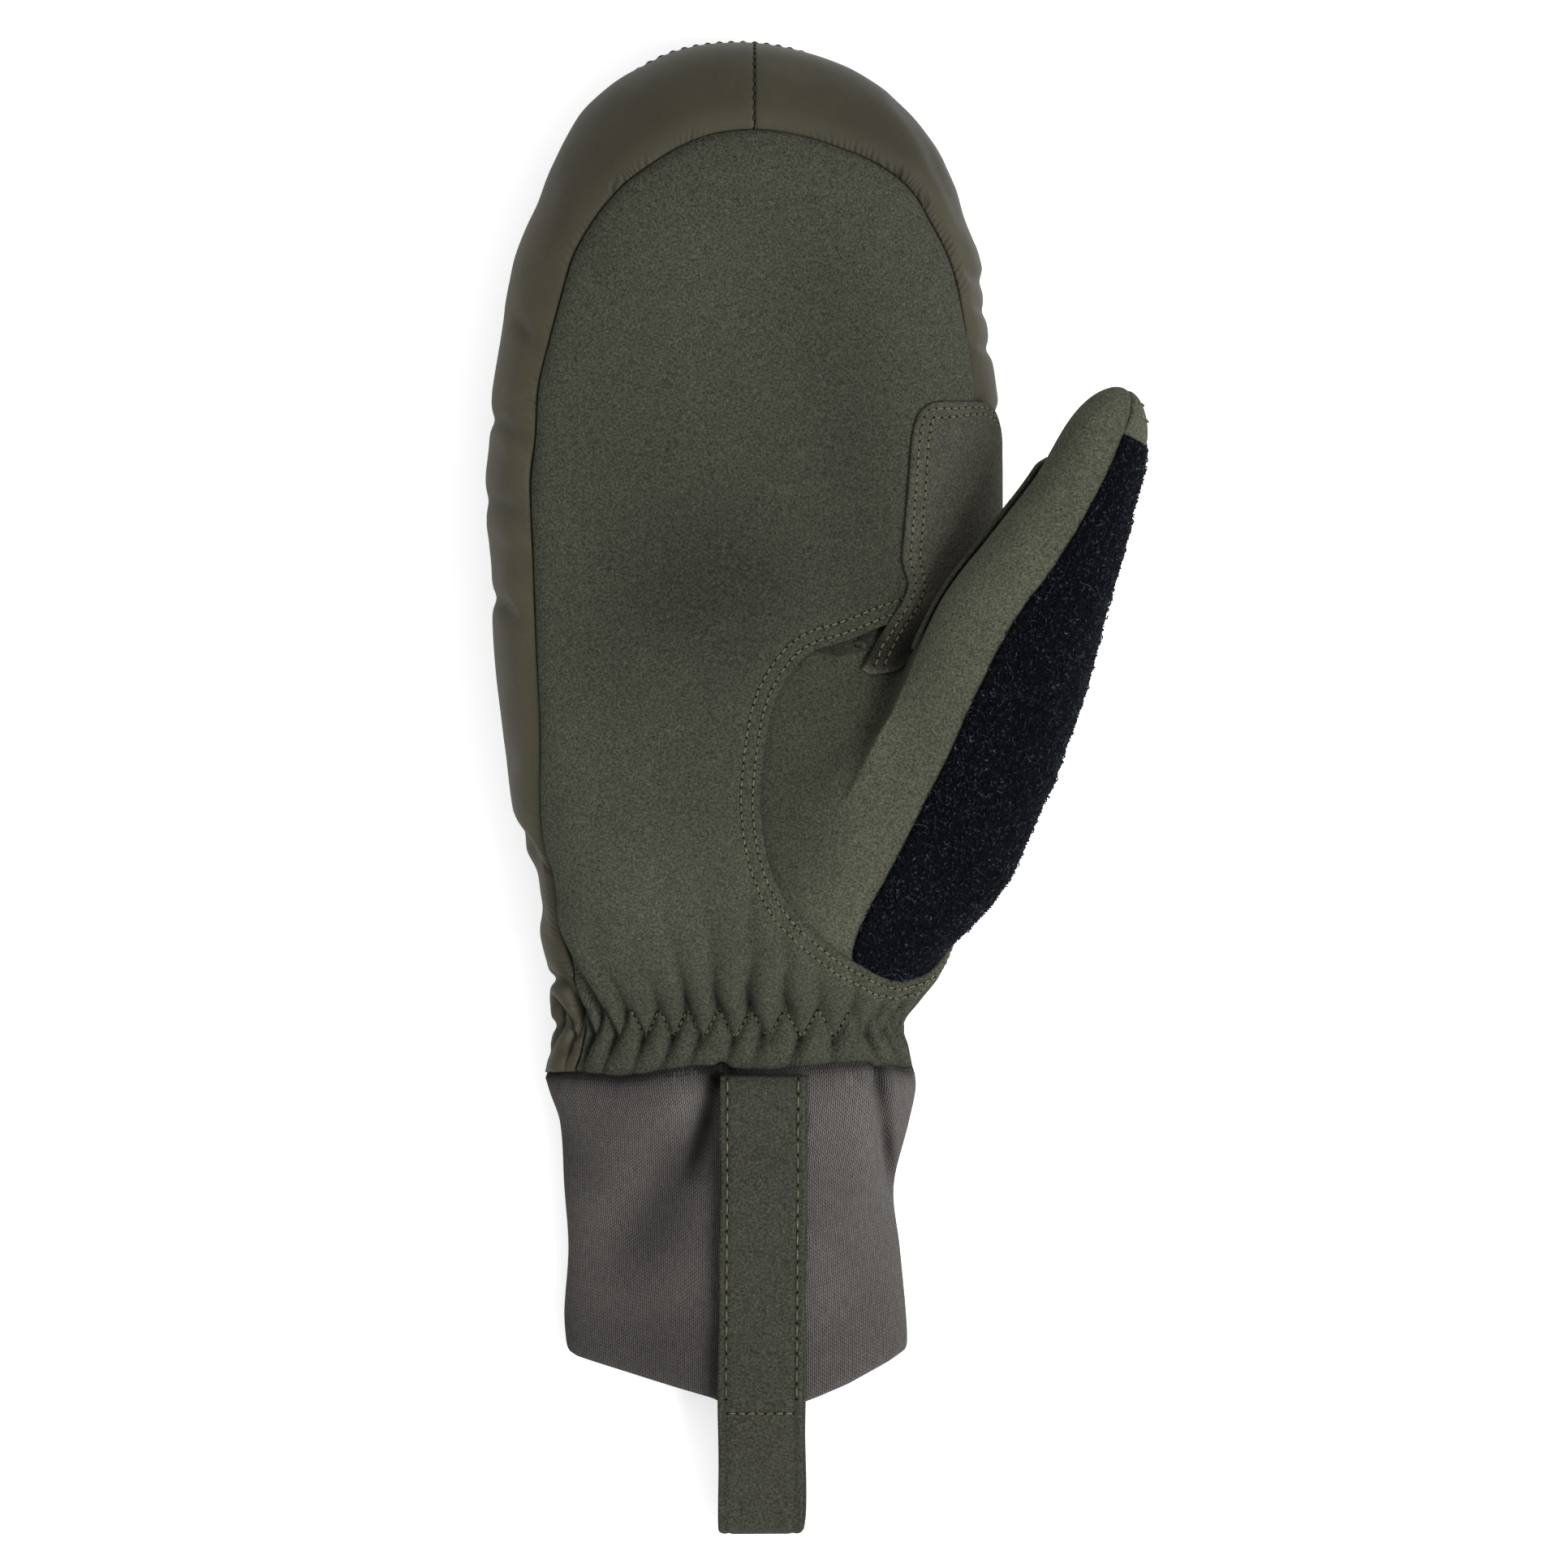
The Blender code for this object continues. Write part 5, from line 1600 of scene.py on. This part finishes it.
def cuffSurface(u, w):
    # upright ribs are evenly spaced, so the crest's way is spread out
    away = np.asarray(u) - 0.5
    way = 0.5 + 0.5 * np.sign(away) * np.abs(2 * away) ** cuffSpread
    point = cuffPoint(way, w)
    top = np.where(np.asarray(w) < onEdge, 1.0, 0.0)
    tucked = 0.0034 * top + hemLift(point, 0.020) * smooth((point[..., 2] - 0.005) / 0.003)
    point = point * stack(1 - 0.035 * top, 1, 1)
    point = point + stack(0, tucked, 0)
    raised = np.interp(point[..., 0], raisedHem[:, 0], raisedHem[:, 1])
    lift = raised * smooth((w - 0.7) / 0.3) * np.where(point[..., 2] > 0.002, 1, 0.9)
    return point + stack(0, lift, 0)


def cuffRelief(u, w, point, normal):
    facing = smooth(normal[..., 2] / 0.5)
    depth = facing * foldDepth(point, cuffFolds)
    down = w * cuff["length"]
    ruffle = 0.0005 * fadeOut(down, 0.004) * np.abs(np.cos(np.pi * gatherPhase(point[..., 0])))
    top = 0.0014 * facing * fadeOut(down, 0.0014)
    border = np.where(w < onEdge, seams["hemTuck"] * facing, 0)
    hem = seams["hemDip"] * fadeOut((1 - w) * cuff["length"], seams["hemReach"])
    soft = swellOf("cuff", point) * facing
    return soft - depth - top - border - facing * ruffle - hem


def cuffShade(u, w, point):
    down = w * cuff["length"]
    # painted shadow below the palm's edge at the top, a painted highlight on the rolled hem, painted shade
    # on the side away from the light, darker towards the bottom end, painted shade in the folds and a
    # painted highlight on one fold's crest
    across = smooth((0.004 - point[..., 0]) / 0.010)
    low = smooth((-0.170 - point[..., 1]) / 0.014)
    fold = np.clip(foldDepth(point, cuffFolds) / 0.0022, -0.6, 1)
    crest = bell(point[..., 0] + 0.017, 0.004) * bell(point[..., 1] + 0.131, 0.008)
    return (toneBy("cuffTop", down) + toneBy("cuffHem", (1 - w) * cuff["length"])
            + 0.32 * across + 0.16 * low + 0.55 * fold - 0.26 * crest)


makePiece("knit_cuff_look", cuffSurface, (0, seamY - 0.031, 0.0086), (260, 110), "knit", ["knit_cuff"],
          relief=cuffRelief, wall=cuff["wall"], shade=cuffShade)
print("cuff made")


# Pull loop

pull = {"width": 0.0189, "length": 0.0994, "wall": 0.0012, "offset": 0.0018, "layer": 0.0003,
        "puff": 0.0016, "drop": 0.62, "underShift": 0.0006, "inset": 0.0016, "pitch": 0.0034,
        "rowEnd": -0.1985, "corner": 0.0010}


def loopLine():
    clear = 2 * pull["layer"] + pull["wall"] / 2
    pitch = pull["wall"] + pull["layer"]
    down = np.linspace(0, 1, 65)
    y = seamY - cuff["gap"] - down * pull["length"]
    share = (seamY - y) / cuff["length"]
    onCuff = 1 + cuff["point"] / cuff["length"]
    height = body["height"] * readTable(cuffRows, "height", np.minimum(share, onCuff))
    drop = np.clip(share - onCuff, 0, None) / (pull["length"] / cuff["length"] - onCuff)
    low = height * (1 - pull["drop"] * smooth(drop)) + clear
    puff = smooth(drop * 2.2) * pull["puff"]
    under = stack(0 * y, y, low - puff)
    over = stack(0 * y, y, low + pitch + puff)
    middle = (under[-1] + over[-1]) / 2
    radius = np.linalg.norm(over[-1] - under[-1]) / 2
    turn = np.pi * np.arange(1, 12) / 12
    fold = middle + stack(0, -np.sin(turn), -np.cos(turn)) * radius
    return np.concatenate([under, fold, over[::-1]])


pullLine = loopLine()
pullAway = lengthAlong(pullLine)


def pullSurface(u, w):
    w = np.asarray(w)
    at = np.clip(w - 0.8 * np.sin(4 * np.pi * w) / (4 * np.pi), 0, 1) * pullAway[-1]
    y = np.interp(at, pullAway, pullLine[:, 1])
    z = np.interp(at, pullAway, pullLine[:, 2])
    shift = pull["underShift"] * smooth((0.5 - w) * 12)
    wander = 0.00015 * np.sin(at / 0.013) + 0.0001 * np.sin(at / 0.0047)
    tilt = 0.0006 * np.clip((seamY - y) / pull["length"], 0, 1)
    toEnd = np.clip(pull["corner"] - (y - pullLine[:, 1].min()), 0, pull["corner"])
    inset = pull["corner"] - np.sqrt(pull["corner"] ** 2 - toEnd ** 2)
    across = (pull["width"] - 2 * inset) * (np.asarray(u) - 0.5)
    x = pull["offset"] + across + shift + wander - tilt
    return stack(x, y, z)


def pullRelief(u, w, point, normal):
    rim = np.minimum(u, 1 - u) * pull["width"]
    groove = 0.00025 * bell(rim - pull["inset"], 0.0006)
    edge = 0.0002 * fadeOut(rim, 0.0004)
    return pull["wall"] / 2 - groove - edge + swellOf("strap", point)


def pullShade(u, w, point):
    # painted shade along the stitched grooves and at the strap's top below the palm's edge
    rim = np.minimum(u, 1 - u) * pull["width"]
    top = np.clip(seamY - point[..., 1], 0, None)
    return 0.2 * bell(rim - pull["inset"], 0.0005) + toneBy("strapTop", top)


makePiece("pull_loop_look", pullSurface, (0, seamY - 0.06, 0.0086), (32, 260), "strap", ["pull_loop"],
          relief=pullRelief, wall=pull["wall"], shade=pullShade)
print("pull loop made")


# Stitches

def addStitches(name, rows, look):
    # rows are pairs of bead places and axes
    bm = bead()
    mesh = repeatShape(bm, np.concatenate([row[0] for row in rows]),
                       np.concatenate([row[1] for row in rows]))
    bm.free()
    return addPiece(name, mesh, looks[look])


def sewRows(name, carrier, lines, slotName, look="thread", fromAbove=False, holes=None, **kind):
    # stitches along lines on a piece, each line with its pitch and the radius of its needle holes
    beads = []
    punched = []
    for line, pitch, radius in lines:
        places, normals = settle(carrier, spaced(line, pitch), fromAbove)
        if len(places) > 2:
            beads.append(stitchRow(places, normals, **kind))
            punched.append(holeRow(places, normals, radius))
    addStitches(name, beads, look)
    if holes:
        addStitches(holes, punched, "hole")


def patchLine(inset):
    u = inset / patch["width"]
    top = 1 - inset / patch["length"]
    left = patchSurface(np.full(160, u), np.linspace(0.03, top, 160))
    over = patchSurface(np.linspace(u, 0.98, 100), np.full(100, top))
    return np.concatenate([left, over])


def strapLines():
    reach = pull["width"] / 2 - pull["inset"]
    y = np.linspace(seamY - 0.0012, pull["rowEnd"], 120)
    tilt = 0.0004 * (seamY - y) / 0.08
    lines = [(stack(pull["offset"] + side * reach - tilt, y, 0), pull["pitch"], 0.00035)
             for side in (-1, 1)]
    x = np.linspace(pull["offset"] - reach, pull["offset"] + reach, 60)
    return lines + [(stack(x, pull["rowEnd"], 0), 0.0021, None)]


def paleLines():
    dice = np.random.default_rng(5)
    lines = []
    for first, last in ((-0.0178, -0.0128), (0.0205, 0.0272)):
        for x in np.arange(first, last, 0.00094):
            top = -0.1215 - dice.uniform(0, 0.0012)
            line = stack(x, np.linspace(top, top - dice.uniform(0.0009, 0.0030), 12), 0)
            lines.append((line, 0.0004, None))
    return lines


def capLine(at):
    return thumbPoint(np.linspace(terryTurn(at) - 4, -20, 40), np.full(40, at))


sewRows("opening_stitches", "palm_panel_look",
        [(line[10:470], rowsRound["pitch"], None) for line in (holeInner, holeOuter)],
        "palm_suede", holes="opening_holes")
sewRows("patch_stitches", "index_patch_look",
        [(patchLine(inset), rowsRound["pitch"], None) for inset in (patch["inner"], patch["outerRow"])],
        "patch_suede", holes="patch_holes")
sewRows("loop_stitches", "pull_loop_look", strapLines(), "strap_suede", fromAbove=True,
        holes="loop_holes", share=0.72, lift=0.00012)
zigzagX = np.linspace(-0.0275, 0.0212, 1200)
sewRows("zigzag_stitches", "palm_panel_look", [(stack(zigzagX, zigzagY(zigzagX), 0), 0.0017, 0.00034)],
        "palm_suede", fromAbove=True, holes="zigzag_holes", share=0.7, radius=0.00020, lift=0.0001)
sewRows("cuff_pale_threads", "knit_cuff_look", paleLines(), "cuff_knit", look="pale", fromAbove=True,
        share=0.8, radius=0.00004, lift=0.00002)
sewRows("cap_stitches", "thumb_tip_cap_look", [(capLine(at), 0.0011, None) for at in (0.958, 0.936)],
        "thumb_suede", radius=0.00028, lift=0.00022)
# the dark seam down the middle of the rim
rimWay = np.linspace(0.52, float(palmEdge(np.array(1.4995))) - 0.01, 60)
sewRows("rim_seam_stitches", "side_wall_outer_look",
        [(rimPoint(np.full(60, 1.4995), rimWay), 0.00235, None)],
        "shell_fabric", look="darkThread", share=0.66, radius=0.00032, lift=0.0002)
print("stitches made, pieces:", len(pieces))


# Camera, floor and light

view = {"width": 0.3478, "middle": (0.00648, -0.05868), "lens": 300.0, "sensor": 36.0, "planeZ": 0.020}


def addCamera():
    data = bpy.data.cameras.new("camera")
    made = bpy.data.objects.new("camera", data)
    bpy.context.scene.collection.objects.link(made)
    data.lens = view["lens"]
    data.sensor_width = view["sensor"]
    data.clip_end = 20.0
    away = view["width"] / view["sensor"] * view["lens"]
    made.location = (*view["middle"], view["planeZ"] + away)
    bpy.context.scene.camera = made


def addFloor():
    bpy.ops.mesh.primitive_plane_add(size=6.0, location=(0, 0, -0.0002))
    floor = bpy.context.object
    floor.name = "floor"
    look = bpy.data.materials.new("floorPaper")
    look.use_nodes = True
    shader = look.node_tree.nodes["Principled BSDF"]
    shader.inputs["Base Color"].default_value = (0.93, 0.93, 0.93, 1)
    shader.inputs["Roughness"].default_value = 0.9
    seen = addNode(look.node_tree, "ShaderNodeLightPath").outputs["Is Camera Ray"]
    lit = mathNode(look.node_tree, "MULTIPLY", seen, 0.50)
    look.node_tree.links.new(lit, shader.inputs["Emission Strength"])
    shader.inputs["Emission Color"].default_value = (1, 1, 1, 1)
    floor.data.materials.append(look)


def addLight(name, place, target, size, power):
    data = bpy.data.lights.new(name, "AREA")
    data.size = size
    data.energy = power
    made = bpy.data.objects.new(name, data)
    bpy.context.scene.collection.objects.link(made)
    made.location = place
    made.rotation_euler = (Vector(target) - Vector(place)).to_track_quat("-Z", "Y").to_euler()


def addLights():
    world = bpy.data.worlds.new("studio")
    bpy.context.scene.world = world
    world.use_nodes = True
    world.node_tree.nodes["Background"].inputs[0].default_value = (1, 1, 1, 1)
    world.node_tree.nodes["Background"].inputs[1].default_value = 0.75
    addLight("key", (0.80, -0.34, 0.95), (0, -0.05, 0), 0.7, 16.0)


addCamera()
addFloor()
addLights()
bpy.context.scene.view_settings.view_transform = "Standard"
